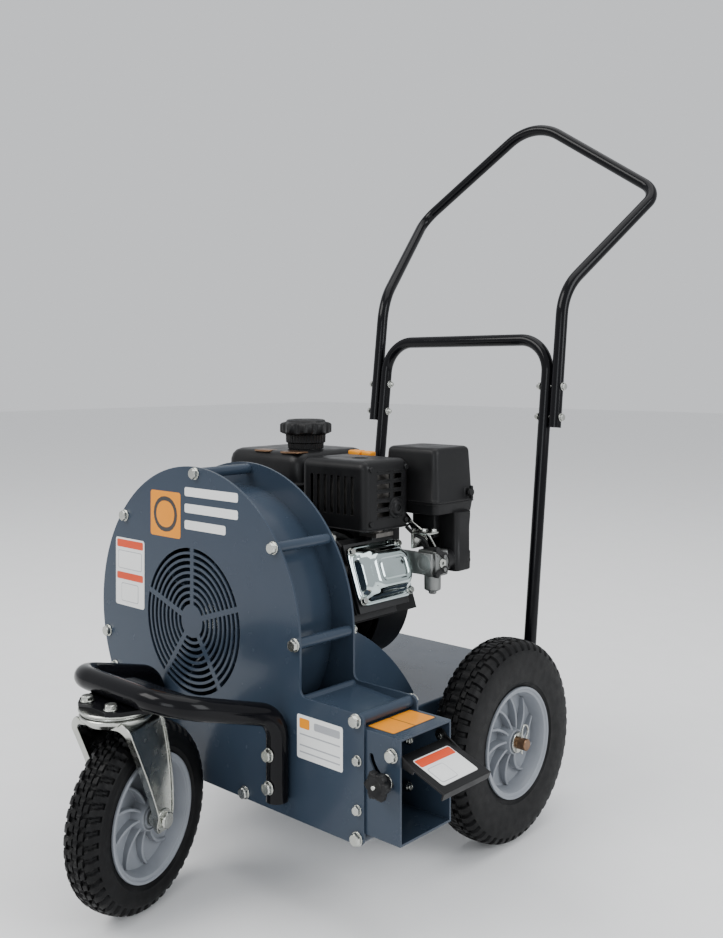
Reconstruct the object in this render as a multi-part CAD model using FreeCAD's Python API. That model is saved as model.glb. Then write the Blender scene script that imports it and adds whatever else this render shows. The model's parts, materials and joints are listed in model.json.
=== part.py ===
"""Walk behind leaf blower: a wheeled centrifugal blower driven by a small petrol engine.

Millimetres, +Z up, floor at z = 0. The parts are laid out about the middle plane of the rear
axle (x = 0, y = 0): the fan intake and the caster face -Y, the outlet faces +X and the operator
stands at +Y. When written out, everything is shifted by SHIFT, so that the origin is the bottom
centre of the whole machine.
"""
import FreeCAD, Part
import math
import os

V = FreeCAD.Vector
X, Y, Z = V(1, 0, 0), V(0, 1, 0), V(0, 0, 1)

# ---- driving dimensions -------------------------------------------------------------------
SHIFT = V(-47.2, 73.2, 0)        # middle plane layout to the bottom centre of the whole box

GAP = 0.3                        # clearance between faces of different moving bodies
RUN = 0.05                       # radial running clearance of a shaft in its bore

# rear wheels
REAR_R, REAR_W = 137.0, 58.0     # tyre radius and width
REAR_X = 209.0                   # middle of a rear tyre
AXLE_R, AXLE_END = 8.0, 250.0
RIM_R, SEAT_R = 75.0, 69.0       # rim flange and tyre seat
HUB_R = 17.0

# front caster
FRONT_R, FRONT_W = 112.0, 52.0
SWIVEL = V(0, -489, 0)           # swivel axis on the floor
TRAIL = 40.0                     # wheel centre behind the swivel axis
CASTER_TURN = 16.0               # how far the fork has swung at rest, degrees
FRONT_AXLE_R = 6.0
CROWN_Z = 238.0                  # underside of the fork crown
PLATE_UNDER_Z = 255.0            # underside of the caster mounting plate
MOUNT_BOLT = 24.0                # caster bolts, each way from the swivel axis
MOUNT_T, SCREW_REACH = 5.0, 7.0   # mounting plate, and how deep its screws go into the race
MOUNT_BOLTS = [V(x, y, 0) for x in (-MOUNT_BOLT, MOUNT_BOLT) for y in (-MOUNT_BOLT, MOUNT_BOLT)]

# base
BASE_TOP, BASE_T = 198.0, 4.0
BASE_HALF = 155.5                # outer face of the side flanges
BASE_REAR = 158.0

# fan housing
FAN = V(-59, 0, 315)             # fan and crankshaft axis
PLATE_T = 3.0
FRONT_Y = -331.0                 # front face of the front plate
INNER_FRONT = FRONT_Y + PLATE_T
INNER_REAR = -237.0              # front face of the rear plate
REAR_Y = INNER_REAR + PLATE_T
PLATE_R = 205.0
PLATE_BOTTOM = FAN.z - PLATE_R
PLATE_END, DUCT_SHOULDER = 249.0, 258.5
SCROLL_T = 2.5
DUCT_LOW, DUCT_HIGH = 125.0, 243.0
SCROLL_START, SCROLL_END = 165.0, FAN.z - DUCT_LOW
CUTOFF = -30.0                   # angle of the scroll's tongue, degrees
SPACER_R, BOLT_CIRCLE = 7.0, 196.5
M8, M6 = 4.0, 3.0                # bolt shank radii

# outlet
BOX_START, BOX_END, BOX_T = 222.0, 300.0, 2.5
PIVOT = V(288.5, 0, 223)
SLOT_R, SLOT_HALF = 32.0, 3.6
COVER_ROLL, COVER_END = 144.0, 229.0   # cover over the duct, from its rolled edge to the outlet spacer
STUD_ANGLE = 255.0               # clamp stud seen from the pivot at rest, degrees
FLAP_TILT, FLAP_L = -20.0, 74.0

# impeller
IMP_R, IMP_FRONT, IMP_BACK = 154.0, -312.0, -250.0
SHAFT_R = 9.5

# engine
ENGINE_BASE = FAN.z - 106.0
CYL_TILT = 20.0
CASE_FRONT, CASE_REAR = -217.0, -72.0
CYL_Y = -116.0
SHROUD_REAR, RECOIL_REAR = -6.0, 31.0

# handle
TUBE_R, TUBE_WALL = 9.5, 1.8
LOWER_X, UPPER_X = 165.0, 184.2
LEAN = 0.12                      # rearward travel of the uprights per unit of height
CROSS_Z = 696.0


# ---- helpers ------------------------------------------------------------------------------
def box(x0, x1, y0, y1, z0, z1):
    return Part.makeBox(x1 - x0, y1 - y0, z1 - z0, V(x0, y0, z0))


def rod(radius, start, end):
    axis = end - start
    return Part.makeCylinder(radius, axis.Length, start, axis)


def ring(outer, inner, start, end):
    return rod(outer, start, end).cut(rod(inner, start, end))


def slab(points, y0, y1):
    """Prism of an outline in X and Z, from y0 to y1."""
    wire = Part.makePolygon([V(x, y0, z) for x, z in points + points[:1]])
    return Part.Face(wire).extrude(V(0, y1 - y0, 0))


def side_slab(points, x0, x1):
    """Prism of an outline in Y and Z, from x0 to x1."""
    wire = Part.makePolygon([V(x0, y, z) for y, z in points + points[:1]])
    return Part.Face(wire).extrude(V(x1 - x0, 0, 0))


def turned(profile):
    """Solid of revolution about X from an outline of (x, radius) points."""
    wire = Part.makePolygon([V(x, 0, r) for x, r in profile + profile[:1]])
    return Part.Face(wire).revolve(V(0, 0, 0), X, 360)


def fuse(shapes):
    return shapes[0].multiFuse(shapes[1:]).removeSplitter()


def rounded(shape, radius, keep):
    """Fillet the edges for which keep(edge) is true."""
    return shape.makeFillet(radius, [edge for edge in shape.Edges if keep(edge)])


def along(edge, axis):
    tangent = edge.tangentAt(edge.FirstParameter)
    return edge.Curve.TypeId == "Part::GeomLine" and abs(tangent.dot(axis)) > 0.999


def polar(radius, angle, y=0.0, centre=FAN):
    a = math.radians(angle)
    return V(centre.x + radius * math.cos(a), y, centre.z + radius * math.sin(a))


def hexagon(start, axis, across, height):
    """Hexagonal prism standing on start, pointing along axis."""
    corner = across / math.sqrt(3)
    points = [V(corner * math.cos(math.radians(a)), corner * math.sin(math.radians(a)), 0)
              for a in range(0, 361, 60)]
    prism = Part.Face(Part.makePolygon(points)).extrude(V(0, 0, height))
    prism.Placement = FreeCAD.Placement(start, FreeCAD.Rotation(Z, axis))
    return prism


def bolt(head_at, axis, radius, grip):
    """Hex bolt, washers and nut as separate solids; axis points from the nut to the head."""
    wide, thick = 3.25 * radius, 1.3 * radius
    washer = 0.4 * radius
    far = head_at - axis * (grip + washer)
    shank = rod(radius, far - axis * (thick + radius), head_at + axis * washer)
    head = hexagon(head_at + axis * washer, axis, wide, thick)
    hole = rod(radius + RUN, far - axis * 2 * thick, head_at + axis * washer)
    front = rod(2.1 * radius, head_at, head_at + axis * washer).cut(hole)
    back = rod(2.1 * radius, head_at - axis * grip, far).cut(hole)
    nut = hexagon(far - axis * thick, axis, wide, thick).cut(hole)
    return [shank.fuse(head), front, back, nut]


def path_wire(points, radii):
    """Straight runs through points, joined by tangent arcs of the given bend radii."""
    edges, last = [], points[0]
    for before, corner, after, radius in zip(points, points[1:], points[2:], radii):
        inward, outward = (corner - before).normalize(), (after - corner).normalize()
        half = inward.getAngle(outward) / 2
        start, end = corner - inward * radius * math.tan(half), corner + outward * radius * math.tan(half)
        bisector = (outward - inward).normalize()
        middle = corner + bisector * (radius / math.cos(half) - radius)
        edges.append(Part.LineSegment(last, start).toShape())
        edges.append(Part.Arc(start, middle, end).toShape())
        last = end
    edges.append(Part.LineSegment(last, points[-1]).toShape())
    return Part.Wire(edges)


def sweep(wire, radius):
    start = wire.Edges[0]
    circle = Part.Circle(start.valueAt(start.FirstParameter),
                         start.tangentAt(start.FirstParameter), radius)
    return wire.makePipeShell([Part.Wire([circle.toShape()])], True, False)


def tube(points, radii, outer, wall):
    wire = path_wire(points, radii)
    return sweep(wire, outer).cut(sweep(wire, outer - wall))


def mirrored(shape):
    return shape.mirror(V(0, 0, 0), X)


def both_sides(shape):
    return [shape, mirrored(shape)]


# ---- wheels -------------------------------------------------------------------------------
def tyre(radius, width):
    """Tyre about the X axis: flat tread, rounded shoulders, bulging sidewalls."""
    half = width / 2
    bead, crown = half - 5, half - 15
    shoulder = radius - 7
    mid = (SEAT_R + radius) / 2
    edges = [
        Part.LineSegment(V(-bead, 0, SEAT_R), V(bead, 0, SEAT_R)),
        Part.LineSegment(V(bead, 0, SEAT_R), V(bead, 0, RIM_R)),
        Part.Arc(V(bead, 0, RIM_R), V(half, 0, mid), V(half - 4, 0, shoulder)),
        Part.Arc(V(half - 4, 0, shoulder), V(half - 7, 0, radius - 3), V(crown, 0, radius - 0.5)),
        Part.Arc(V(crown, 0, radius - 0.5), V(0, 0, radius), V(-crown, 0, radius - 0.5)),
        Part.Arc(V(-crown, 0, radius - 0.5), V(7 - half, 0, radius - 3), V(4 - half, 0, shoulder)),
        Part.Arc(V(4 - half, 0, shoulder), V(-half, 0, mid), V(-bead, 0, RIM_R)),
        Part.LineSegment(V(-bead, 0, RIM_R), V(-bead, 0, SEAT_R)),
    ]
    return Part.Face(Part.Wire([edge.toShape() for edge in edges])).revolve(V(0, 0, 0), X, 360)


def wheel_hub(width, bore, spokes=10):
    """Moulded plastic rim about the X axis: barrel, two flanges, spokes and a central boss."""
    bead = width / 2 - 5
    flange = 4.0
    barrel = turned([(-bead - flange, RIM_R), (-bead, RIM_R), (-bead, SEAT_R), (bead, SEAT_R),
                     (bead, RIM_R), (bead + flange, RIM_R), (bead + flange, SEAT_R - 4),
                     (-bead - flange, SEAT_R - 4)])
    boss = rod(HUB_R, V(-bead, 0, 0), V(bead, 0, 0))
    web = rod(SEAT_R - 3, V(-bead / 2 - 2, 0, 0), V(-bead / 2 + 2, 0, 0))
    parts = [barrel, boss, web]
    spoke = side_slab([(-2.5, HUB_R - 3), (2.5, HUB_R - 3), (3.5, SEAT_R - 3), (-3.5, SEAT_R - 3)],
                      -bead / 2, bead - 4)
    for index in range(spokes):
        arm = spoke.copy()
        arm.rotate(V(0, 0, 0), X, index * 360 / spokes)
        parts.append(arm)
    return fuse(parts).cut(rod(bore, V(-width, 0, 0), V(width, 0, 0)))


def rear_wheels():
    centre = V(REAR_X, 0, REAR_R)
    tyre_right = tyre(REAR_R, REAR_W)
    tyre_right.translate(centre)
    hub_right = wheel_hub(REAR_W, AXLE_R + RUN)
    hub_right.translate(centre)
    return {"rear_tyre_right": tyre_right, "rear_hub_right": hub_right,
            "rear_tyre_left": mirrored(tyre_right), "rear_hub_left": mirrored(hub_right)}


def rear_axle_parts():
    centre = V(0, 0, REAR_R)
    inner, outer = REAR_X - REAR_W / 2 + 5, REAR_X + REAR_W / 2 - 5
    axle = rod(AXLE_R, centre - X * AXLE_END, centre + X * AXLE_END)
    axle = axle.cut(rod(1.6, V(outer + 8, 0, REAR_R - 12), V(outer + 8, 0, REAR_R + 12)))
    axle = axle.cut(rod(1.6, V(-outer - 8, 0, REAR_R - 12), V(-outer - 8, 0, REAR_R + 12)))
    keepers = []
    spacer = ring(12.5, AXLE_R + RUN, centre + X * BASE_HALF, centre + X * (inner - GAP))
    washer = ring(14, AXLE_R + RUN, centre + X * (outer + GAP), centre + X * (outer + 3))
    pin = hairpin(V(outer + 8, 0, REAR_R))
    for part in (spacer, washer, pin):
        keepers += both_sides(part)
    return {"rear_axle": axle, "axle_keepers": Part.makeCompound(keepers)}


def hairpin(centre):
    """Hairpin clip: a straight leg through the axle and a sprung leg round the outside."""
    wire = path_wire([centre + V(0, 0, -14), centre + V(0, 0, 24), centre + V(0, 16, 24),
                      centre + V(0, 12, -12)], [7.0, 6.0])
    return sweep(wire, 1.5)


# ---- caster -------------------------------------------------------------------------------
def caster_parts():
    """Fork, axle and wheel, built straight and then swung about the swivel axis."""
    half = FRONT_W / 2
    inner = half + 5
    leg_t = 3.0
    wheel_y = TRAIL
    crown = rod(40, V(0, 0, CROWN_Z), V(0, 0, CROWN_Z + 4))
    bridge = box(-inner - leg_t, inner + leg_t, -30, 26, CROWN_Z, CROWN_Z + leg_t)
    race = turned_up([(9.3, CROWN_Z + 4), (40, CROWN_Z + 4), (43, CROWN_Z + 7), (43, CROWN_Z + 10),
                      (34, CROWN_Z + 10), (30, CROWN_Z + 7), (9.3, CROWN_Z + 7)])
    outline = [(-32, CROWN_Z + leg_t), (36, CROWN_Z + leg_t), (wheel_y + 14, CROWN_Z - 42),
               (wheel_y + 17, FRONT_R + 4), (wheel_y + 11, FRONT_R - 14), (wheel_y - 11, FRONT_R - 14),
               (wheel_y - 17, FRONT_R + 6)]
    leg = side_slab(outline, inner, inner + leg_t)
    flange = side_slab([(-34, CROWN_Z + leg_t), (-31, CROWN_Z + leg_t), (wheel_y - 14, FRONT_R + 6),
                        (wheel_y - 17, FRONT_R + 6)], inner, inner + 9)
    fork = fuse([crown, bridge, race] + both_sides(leg) + both_sides(flange))
    fork = fork.cut(rod(9.3, V(0, 0, CROWN_Z - 5), V(0, 0, CROWN_Z + 20)))
    axis_a, axis_b = V(-inner - 20, wheel_y, FRONT_R), V(inner + 20, wheel_y, FRONT_R)
    fork = fork.cut(rod(FRONT_AXLE_R + RUN, axis_a, axis_b))
    axle = front_axle(inner + leg_t, wheel_y)
    wheel_tyre = tyre(FRONT_R, FRONT_W)
    hub = wheel_hub(FRONT_W, FRONT_AXLE_R + RUN)
    for part in (wheel_tyre, hub):
        part.translate(V(0, wheel_y, FRONT_R))
    parts = {"caster_fork": fork, "caster_axle": axle, "front_tyre": wheel_tyre, "front_hub": hub}
    for part in parts.values():
        part.rotate(V(0, 0, 0), Z, CASTER_TURN)
        part.translate(SWIVEL)
    return parts


def turned_up(profile):
    """Solid of revolution about Z from an outline of (radius, z) points."""
    wire = Part.makePolygon([V(r, 0, z) for r, z in profile + profile[:1]])
    return Part.Face(wire).revolve(V(0, 0, 0), Z, 360)


def front_axle(leg_face, wheel_y):
    """Bolt through the fork with its nut, and a spacer each side of the hub."""
    end = V(leg_face, wheel_y, FRONT_R)
    hub_end = FRONT_W / 2 - 5
    shank = rod(FRONT_AXLE_R, end - X * (2 * leg_face + 12), end)
    head = hexagon(end, X, 19, 8)
    hole = rod(FRONT_AXLE_R + RUN, end - X * 2 * leg_face - X * 20, end)
    nut = hexagon(end - X * (2 * leg_face + 8), X, 19, 8).cut(hole)
    spacer = ring(10, FRONT_AXLE_R + RUN, V(hub_end + GAP, wheel_y, FRONT_R),
                  V(leg_face - 3, wheel_y, FRONT_R))
    return Part.makeCompound([shank.fuse(head), nut] + both_sides(spacer))


def caster_top():
    """Fixed half of the swivel: top plate, upper race and the kingpin riveted into it."""
    top = rod(44, V(0, 0, PLATE_UNDER_Z - 3), V(0, 0, PLATE_UNDER_Z))
    cup = turned_up([(9, PLATE_UNDER_Z - 3), (41, PLATE_UNDER_Z - 3), (41, CROWN_Z + 10 + GAP),
                     (9, CROWN_Z + 10 + GAP)])
    pin = rod(9, V(0, 0, CROWN_Z - 1), V(0, 0, PLATE_UNDER_Z - 3))
    cap = rod(13, V(0, 0, CROWN_Z - 4), V(0, 0, CROWN_Z - GAP))
    part = fuse([top, cup, pin, cap])
    for at in MOUNT_BOLTS:
        part = part.cut(rod(M8 + RUN, at + Z * (PLATE_UNDER_Z - SCREW_REACH - 0.5), at + Z * (PLATE_UNDER_Z + 1)))
    part.translate(SWIVEL)
    return part


# ---- front guard bar ----------------------------------------------------------------------
BAR_R, BAR_WALL = 13.5, 2.0
BAR_X, BAR_LEG_Y = 121.0, FRONT_Y - 13.5
BAR_LEG_END, BAR_SHOULDER, BAR_FRONT_Z = 132.0, 234.0, 273.5
BAR_BOLTS = (190.0, 151.0)


def bar_route():
    right = [V(BAR_X, BAR_LEG_Y, BAR_LEG_END), V(BAR_X, BAR_LEG_Y, BAR_SHOULDER),
             V(98, -488, BAR_FRONT_Z)]
    left = [V(-p.x, p.y, p.z) for p in reversed(right)]
    return right + left


def guard_bar():
    bar = tube(bar_route(), [34, 55, 55, 34], BAR_R, BAR_WALL)
    for x in (-BAR_X, BAR_X):
        for z in BAR_BOLTS:
            bar = bar.cut(rod(M8 + RUN, V(x, BAR_LEG_Y - 20, z), V(x, BAR_LEG_Y + 20, z)))
    return bar


def bar_bolts():
    solids = []
    for x in (-BAR_X, BAR_X):
        for z in BAR_BOLTS:
            solids += bolt(V(x, BAR_LEG_Y - BAR_R, z), V(0, -1, 0), M8, 2 * BAR_R + PLATE_T)
    for at in MOUNT_BOLTS:
        seat = SWIVEL + at + Z * (PLATE_UNDER_Z + MOUNT_T)
        shank = rod(M8, seat - Z * (MOUNT_T + SCREW_REACH), seat + Z * 1.6)
        solids += [shank.fuse(hexagon(seat + Z * 1.6, Z, 13, 5.2)),
                   ring(8.4, M8 + RUN, seat, seat + Z * 1.6)]
    return Part.makeCompound(solids)


def caster_mount():
    """Plate welded under the bar's front, with two ribs running back to the legs."""
    right = [(28, -523), (42, -511), (49, -490), (84, -462), (62, -425)]
    plate = slab_flat(right + [(-x, y) for x, y in reversed(right)],
                      PLATE_UNDER_Z, PLATE_UNDER_Z + MOUNT_T)
    lip = box(-62, 62, -425, -421, PLATE_UNDER_Z - 8, PLATE_UNDER_Z + MOUNT_T)
    plate = plate.fuse(lip)
    for at in MOUNT_BOLTS:
        hole = SWIVEL + at + Z * PLATE_UNDER_Z
        plate = plate.cut(rod(M8 + RUN, hole - Z, hole + Z * (MOUNT_T + 1)))
    return plate.cut(sweep(path_wire(bar_route(), [34, 55, 55, 34]), BAR_R))


def slab_flat(points, z0, z1):
    """Prism of an outline in X and Y, from z0 to z1."""
    wire = Part.makePolygon([V(x, y, z0) for x, y in points + points[:1]])
    return Part.Face(wire).extrude(V(0, 0, z1 - z0))


# ---- base frame ---------------------------------------------------------------------------
def upright_y(z):
    return 181.0 + LEAN * (z - 598.0)


HANDLE_FIX = (184.0, 160.0)      # heights of the bolts that hold the uprights to the base
FOOT_X = 72.0                    # engine feet, either side of the crankshaft
FEET = [(FAN.x + side * FOOT_X, y) for side in (-1, 1) for y in (-183.0, -107.4)]


def base_frame():
    """Folded base plate with side flanges, the axle drops and the engine's raised pads."""
    deck = box(-BASE_HALF, BASE_HALF, REAR_Y, BASE_REAR, BASE_TOP - BASE_T, BASE_TOP)
    flange = side_slab([(REAR_Y, BASE_TOP - BASE_T), (REAR_Y, 176), (-52, 168), (-24, 117), (24, 117),
                        (64, 144), (BASE_REAR, 144), (BASE_REAR, BASE_TOP - BASE_T)],
                       BASE_HALF - 4, BASE_HALF)
    pads = [box(x - 18, x + 18, CASE_FRONT + 12, CASE_REAR - 12, BASE_TOP, ENGINE_BASE)
            for x in (FAN.x - FOOT_X, FAN.x + FOOT_X)]
    frame = fuse([deck] + both_sides(flange) + pads)
    frame = rounded(frame, 3, lambda e: along(e, Y) and e.BoundBox.ZMin > BASE_TOP - 0.1
                    and abs(abs(e.BoundBox.XMin) - BASE_HALF) < 0.1)
    frame = frame.cut(rod(AXLE_R + RUN, V(-200, 0, REAR_R), V(200, 0, REAR_R)))
    for z in HANDLE_FIX:
        y = upright_y(z)
        frame = frame.cut(rod(M8 + RUN, V(-200, y, z), V(200, y, z)))
    for x, y in FEET:
        frame = frame.cut(rod(M8 + RUN, V(x, y, BASE_TOP - 10), V(x, y, ENGINE_BASE + 1)))
    return frame


def gussets():
    """Curved side gussets that tie the housing's rear plate to the base plate."""
    solids = []
    for x, toe_y, middle_y, middle_z, top_z in ((108.0, -76, -152, 278, 322),
                                                (-BASE_HALF, -165, -203, 262, 300)):
        corner = V(x, REAR_Y, BASE_TOP)
        toe, middle, top = V(x, toe_y, BASE_TOP), V(x, middle_y, middle_z), V(x, REAR_Y, top_z)
        wire = Part.Wire([Part.LineSegment(corner, toe).toShape(), Part.Arc(toe, middle, top).toShape(),
                          Part.LineSegment(top, corner).toShape()])
        solids.append(Part.Face(wire).extrude(V(4, 0, 0)))
    return Part.makeCompound(solids)


# ---- fan housing --------------------------------------------------------------------------
def plate_outline(y):
    """Round housing plate with a square skirt towards the outlet, as a face at y."""
    left, top, right = polar(PLATE_R, 180, y), polar(PLATE_R, 90, y), polar(PLATE_R, 0, y)
    low_left = V(FAN.x, y, PLATE_BOTTOM)
    arcs = [Part.Arc(low_left, polar(PLATE_R, 225, y), left), Part.Arc(left, polar(PLATE_R, 135, y), top),
            Part.Arc(top, polar(PLATE_R, 45, y), right)]
    corners = [right, V(right.x, y, DUCT_SHOULDER), V(PLATE_END, y, DUCT_SHOULDER),
               V(PLATE_END, y, PLATE_BOTTOM), low_left]
    lines = [Part.LineSegment(a, b) for a, b in zip(corners, corners[1:])]
    return Part.Face(Part.Wire([edge.toShape() for edge in arcs + lines]))


def housing_plate(y):
    plate = plate_outline(y).extrude(V(0, PLATE_T, 0))
    corner = [e for e in plate.Edges if along(e, Y) and e.BoundBox.XMin > PLATE_R + FAN.x - 1]
    inside = [e for e in corner if abs(e.BoundBox.XMin - PLATE_R - FAN.x) < 1
              and abs(e.BoundBox.ZMin - DUCT_SHOULDER) < 1]
    outside = [e for e in corner if e.BoundBox.XMin > PLATE_END - 1]
    plate = plate.makeFillet(9, outside + inside)
    for at in housing_bolt_points():
        plate = plate.cut(rod(M8 + RUN, V(at.x, y - 1, at.z), V(at.x, y + PLATE_T + 1, at.z)))
    return plate


def housing_bolt_points():
    points = [polar(BOLT_CIRCLE, angle) for angle in (1, 36, 88, 140, 193, 208)]
    return points + [V(237, 0, DUCT_HIGH + 7.5), V(239, 0, DUCT_LOW - 7.5), V(48, 0, DUCT_LOW - 7.5)]


def box_bolt_points():
    return [V(239.5, 0, 206), V(239.5, 0, 150)]


def grille_cuts():
    """Concentric arc slots between five spokes."""
    slots, pitch, width, spoke = [], 8.7, 5.2, 7.0
    for index in range(9):
        inner = 22.0 + index * pitch
        slots.append(ring(inner + width, inner, V(FAN.x, FRONT_Y - 1, FAN.z),
                          V(FAN.x, INNER_FRONT + 1, FAN.z)))
    bars = [box(FAN.x - spoke / 2, FAN.x + spoke / 2, FRONT_Y - 2, INNER_FRONT + 2, FAN.z, FAN.z + 100)]
    for index in range(1, 5):
        arm = bars[0].copy()
        arm.rotate(V(FAN.x, 0, FAN.z), Y, 72 * index)
        bars.append(arm)
    return Part.makeCompound(slots).cut(fuse(bars))


def front_plate():
    plate = housing_plate(FRONT_Y).cut(grille_cuts())
    for x in (-BAR_X, BAR_X):
        for z in BAR_BOLTS:
            plate = plate.cut(rod(M8 + RUN, V(x, FRONT_Y - 1, z), V(x, INNER_FRONT + 1, z)))
    for at in box_bolt_points():
        plate = plate.cut(rod(M6 + RUN, V(at.x, FRONT_Y - 1, at.z), V(at.x, INNER_FRONT + 1, at.z)))
    return plate


def rear_plate():
    plate = housing_plate(INNER_REAR)
    for at in box_bolt_points():
        plate = plate.cut(rod(M6 + RUN, V(at.x, INNER_REAR - 1, at.z), V(at.x, REAR_Y + 1, at.z)))
    return plate.cut(rod(24, V(FAN.x, INNER_REAR - 1, FAN.z), V(FAN.x, REAR_Y + 1, FAN.z)))


def scroll_radius(angle):
    return SCROLL_START + (SCROLL_END - SCROLL_START) * (angle - CUTOFF) / (270 - CUTOFF)


def scroll_wall():
    """Spiral strip between the plates that opens into the duct's walls, and the duct's top cover."""
    angles = [CUTOFF + 15 * index for index in range(21)]
    inner = [polar(scroll_radius(a) - SCROLL_T, a) for a in angles]
    outer = [polar(scroll_radius(a), a) for a in reversed(angles)]
    tip, tail = outer[-1], outer[0]
    duct_in, duct_out = V(BOX_START, 0, DUCT_HIGH), V(BOX_START, 0, DUCT_HIGH - SCROLL_T)
    spline_in = Part.BSplineCurve()
    spline_in.interpolate(inner)
    spline_out = Part.BSplineCurve()
    spline_out.interpolate(outer)
    edges = [spline_in.toShape(), Part.LineSegment(inner[-1], tail).toShape(),
             spline_out.toShape(), Part.LineSegment(tip, inner[0]).toShape()]
    shapes = [Part.Face(Part.Wire(edges))]
    shapes.append(Part.Face(Part.makePolygon([
        V(FAN.x, 0, DUCT_LOW), V(BOX_START, 0, DUCT_LOW), V(BOX_START, 0, DUCT_LOW + SCROLL_T),
        V(FAN.x, 0, DUCT_LOW + SCROLL_T), V(FAN.x, 0, DUCT_LOW)])))
    root = polar(scroll_radius(CUTOFF) - SCROLL_T, CUTOFF)
    shapes.append(Part.Face(Part.makePolygon([
        tip, root, duct_out - X * 100, duct_out, duct_in, duct_in - X * 98, tip])))
    shapes.append(Part.Face(Part.makePolygon([
        V(COVER_ROLL, 0, DUCT_HIGH - 1), V(COVER_ROLL + 2.5, 0, DUCT_HIGH - 1),
        V(COVER_ROLL + 2.5, 0, 252), V(COVER_END, 0, 247), V(COVER_END, 0, 249.5),
        V(COVER_ROLL, 0, 255), V(COVER_ROLL, 0, DUCT_HIGH - 1)])))
    solids = [shape.extrude(V(0, INNER_REAR - INNER_FRONT, 0)) for shape in shapes]
    solids.append(rod(5.5, V(COVER_ROLL + 2, 0, 253), V(COVER_ROLL + 2, INNER_REAR - INNER_FRONT, 253)))
    wall = fuse(solids)
    wall.translate(V(0, INNER_FRONT, 0))
    return wall


def plate_spacers():
    return Part.makeCompound([ring(SPACER_R, M8 + RUN, V(at.x, INNER_FRONT, at.z),
                                   V(at.x, INNER_REAR, at.z)) for at in housing_bolt_points()])


def housing_bolts():
    solids = []
    for at in housing_bolt_points():
        solids += bolt(V(at.x, FRONT_Y, at.z), V(0, -1, 0), M8, REAR_Y - FRONT_Y)
    return Part.makeCompound(solids)


# ---- outlet -------------------------------------------------------------------------------
def slot_shape(y0, y1):
    """Arc slot about the flap's pivot for the clamp stud."""
    start, end = STUD_ANGLE - 60, STUD_ANGLE + 12
    centre = V(PIVOT.x, y0, PIVOT.z)
    band = ring(SLOT_R + SLOT_HALF, SLOT_R - SLOT_HALF, centre, V(PIVOT.x, y1, PIVOT.z))
    wedge = slab([(PIVOT.x, PIVOT.z)] + [
        (PIVOT.x + 60 * math.cos(math.radians(start + (end - start) * i / 6)),
         PIVOT.z + 60 * math.sin(math.radians(start + (end - start) * i / 6))) for i in range(7)],
        y0, y1)
    ends = [rod(SLOT_HALF, polar(SLOT_R, a, y0, PIVOT), polar(SLOT_R, a, y1, PIVOT))
            for a in (start, end)]
    return fuse([band.common(wedge)] + ends)


def outlet_box():
    shell = box(BOX_START, BOX_END, INNER_FRONT, INNER_REAR, DUCT_LOW, DUCT_HIGH)
    hollow = box(BOX_START - 1, BOX_END + 1, INNER_FRONT + BOX_T, INNER_REAR - BOX_T,
                 DUCT_LOW + BOX_T, DUCT_HIGH - BOX_T)
    shell = shell.cut(hollow).cut(slot_shape(INNER_FRONT - 1, INNER_FRONT + BOX_T + 1))
    for at in box_bolt_points():
        shell = shell.cut(rod(M6 + RUN, V(at.x, INNER_FRONT - 1, at.z), V(at.x, INNER_REAR + 1, at.z)))
    return shell.cut(rod(M8 + RUN, V(PIVOT.x, INNER_FRONT - 1, PIVOT.z),
                         V(PIVOT.x, INNER_REAR + 1, PIVOT.z)))


def outlet_bolts():
    """Bolts that hold the box between the plates, and the two shoulder bolts of the flap."""
    solids = []
    wall = PLATE_T + BOX_T
    for at in box_bolt_points():
        solids += bolt(V(at.x, FRONT_Y, at.z), V(0, -1, 0), M6, wall)
        solids += bolt(V(at.x, REAR_Y, at.z), V(0, 1, 0), M6, wall)
    for side, y in ((-1, INNER_FRONT), (1, INNER_REAR)):
        at, axis = V(PIVOT.x, y, PIVOT.z), V(0, side, 0)
        shank = rod(M8, at - axis * (BOX_T + 6), at + axis * 1.6)
        head = hexagon(at + axis * 1.6, axis, 13, 5)
        washer = ring(8.4, M8 + RUN, at, at + axis * 1.6)
        solids += [shank.fuse(head), washer]
    return Part.makeCompound(solids)


def deflector():
    """Flap with a cheek at each side; the front cheek carries the clamp stud."""
    y0, y1 = INNER_FRONT + BOX_T + GAP, INNER_REAR - BOX_T - GAP
    plate = box(6, FLAP_L, y0, y1, -1, 1)
    lip = box(FLAP_L - 2, FLAP_L, y0, y1, -7, 1)
    cheeks = []
    reach = SLOT_R + 7
    stud = STUD_ANGLE - FLAP_TILT
    sx, sz = SLOT_R * math.cos(math.radians(stud)), SLOT_R * math.sin(math.radians(stud))
    for start, end in ((y0, y0 + 2), (y1 - 2, y1)):
        fin = slab([(0, 6), (30, 1), (30, -5), (0, -8)], start, end)
        boss = rod(8, V(0, start, 0), V(0, end, 0))
        cheeks += [fin, boss]
    arm = slab([(-7, 2), (7, 2), (sx + 6, sz - 2), (sx, -reach), (sx - 7, sz)], y0, y0 + 2)
    foot = rod(7, V(sx, y0, sz), V(sx, y0 + 2, sz))
    flap = fuse([plate, lip, arm, foot] + cheeks)
    flap = flap.cut(rod(M8 + RUN, V(0, y0 - 5, 0), V(0, y1 + 5, 0)))
    flap = flap.cut(rod(M6, V(sx, y0 - 5, sz), V(sx, y0 + 5, sz)))
    flap.rotate(V(0, 0, 0), Y, -FLAP_TILT)
    flap.translate(PIVOT)
    return flap


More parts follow.
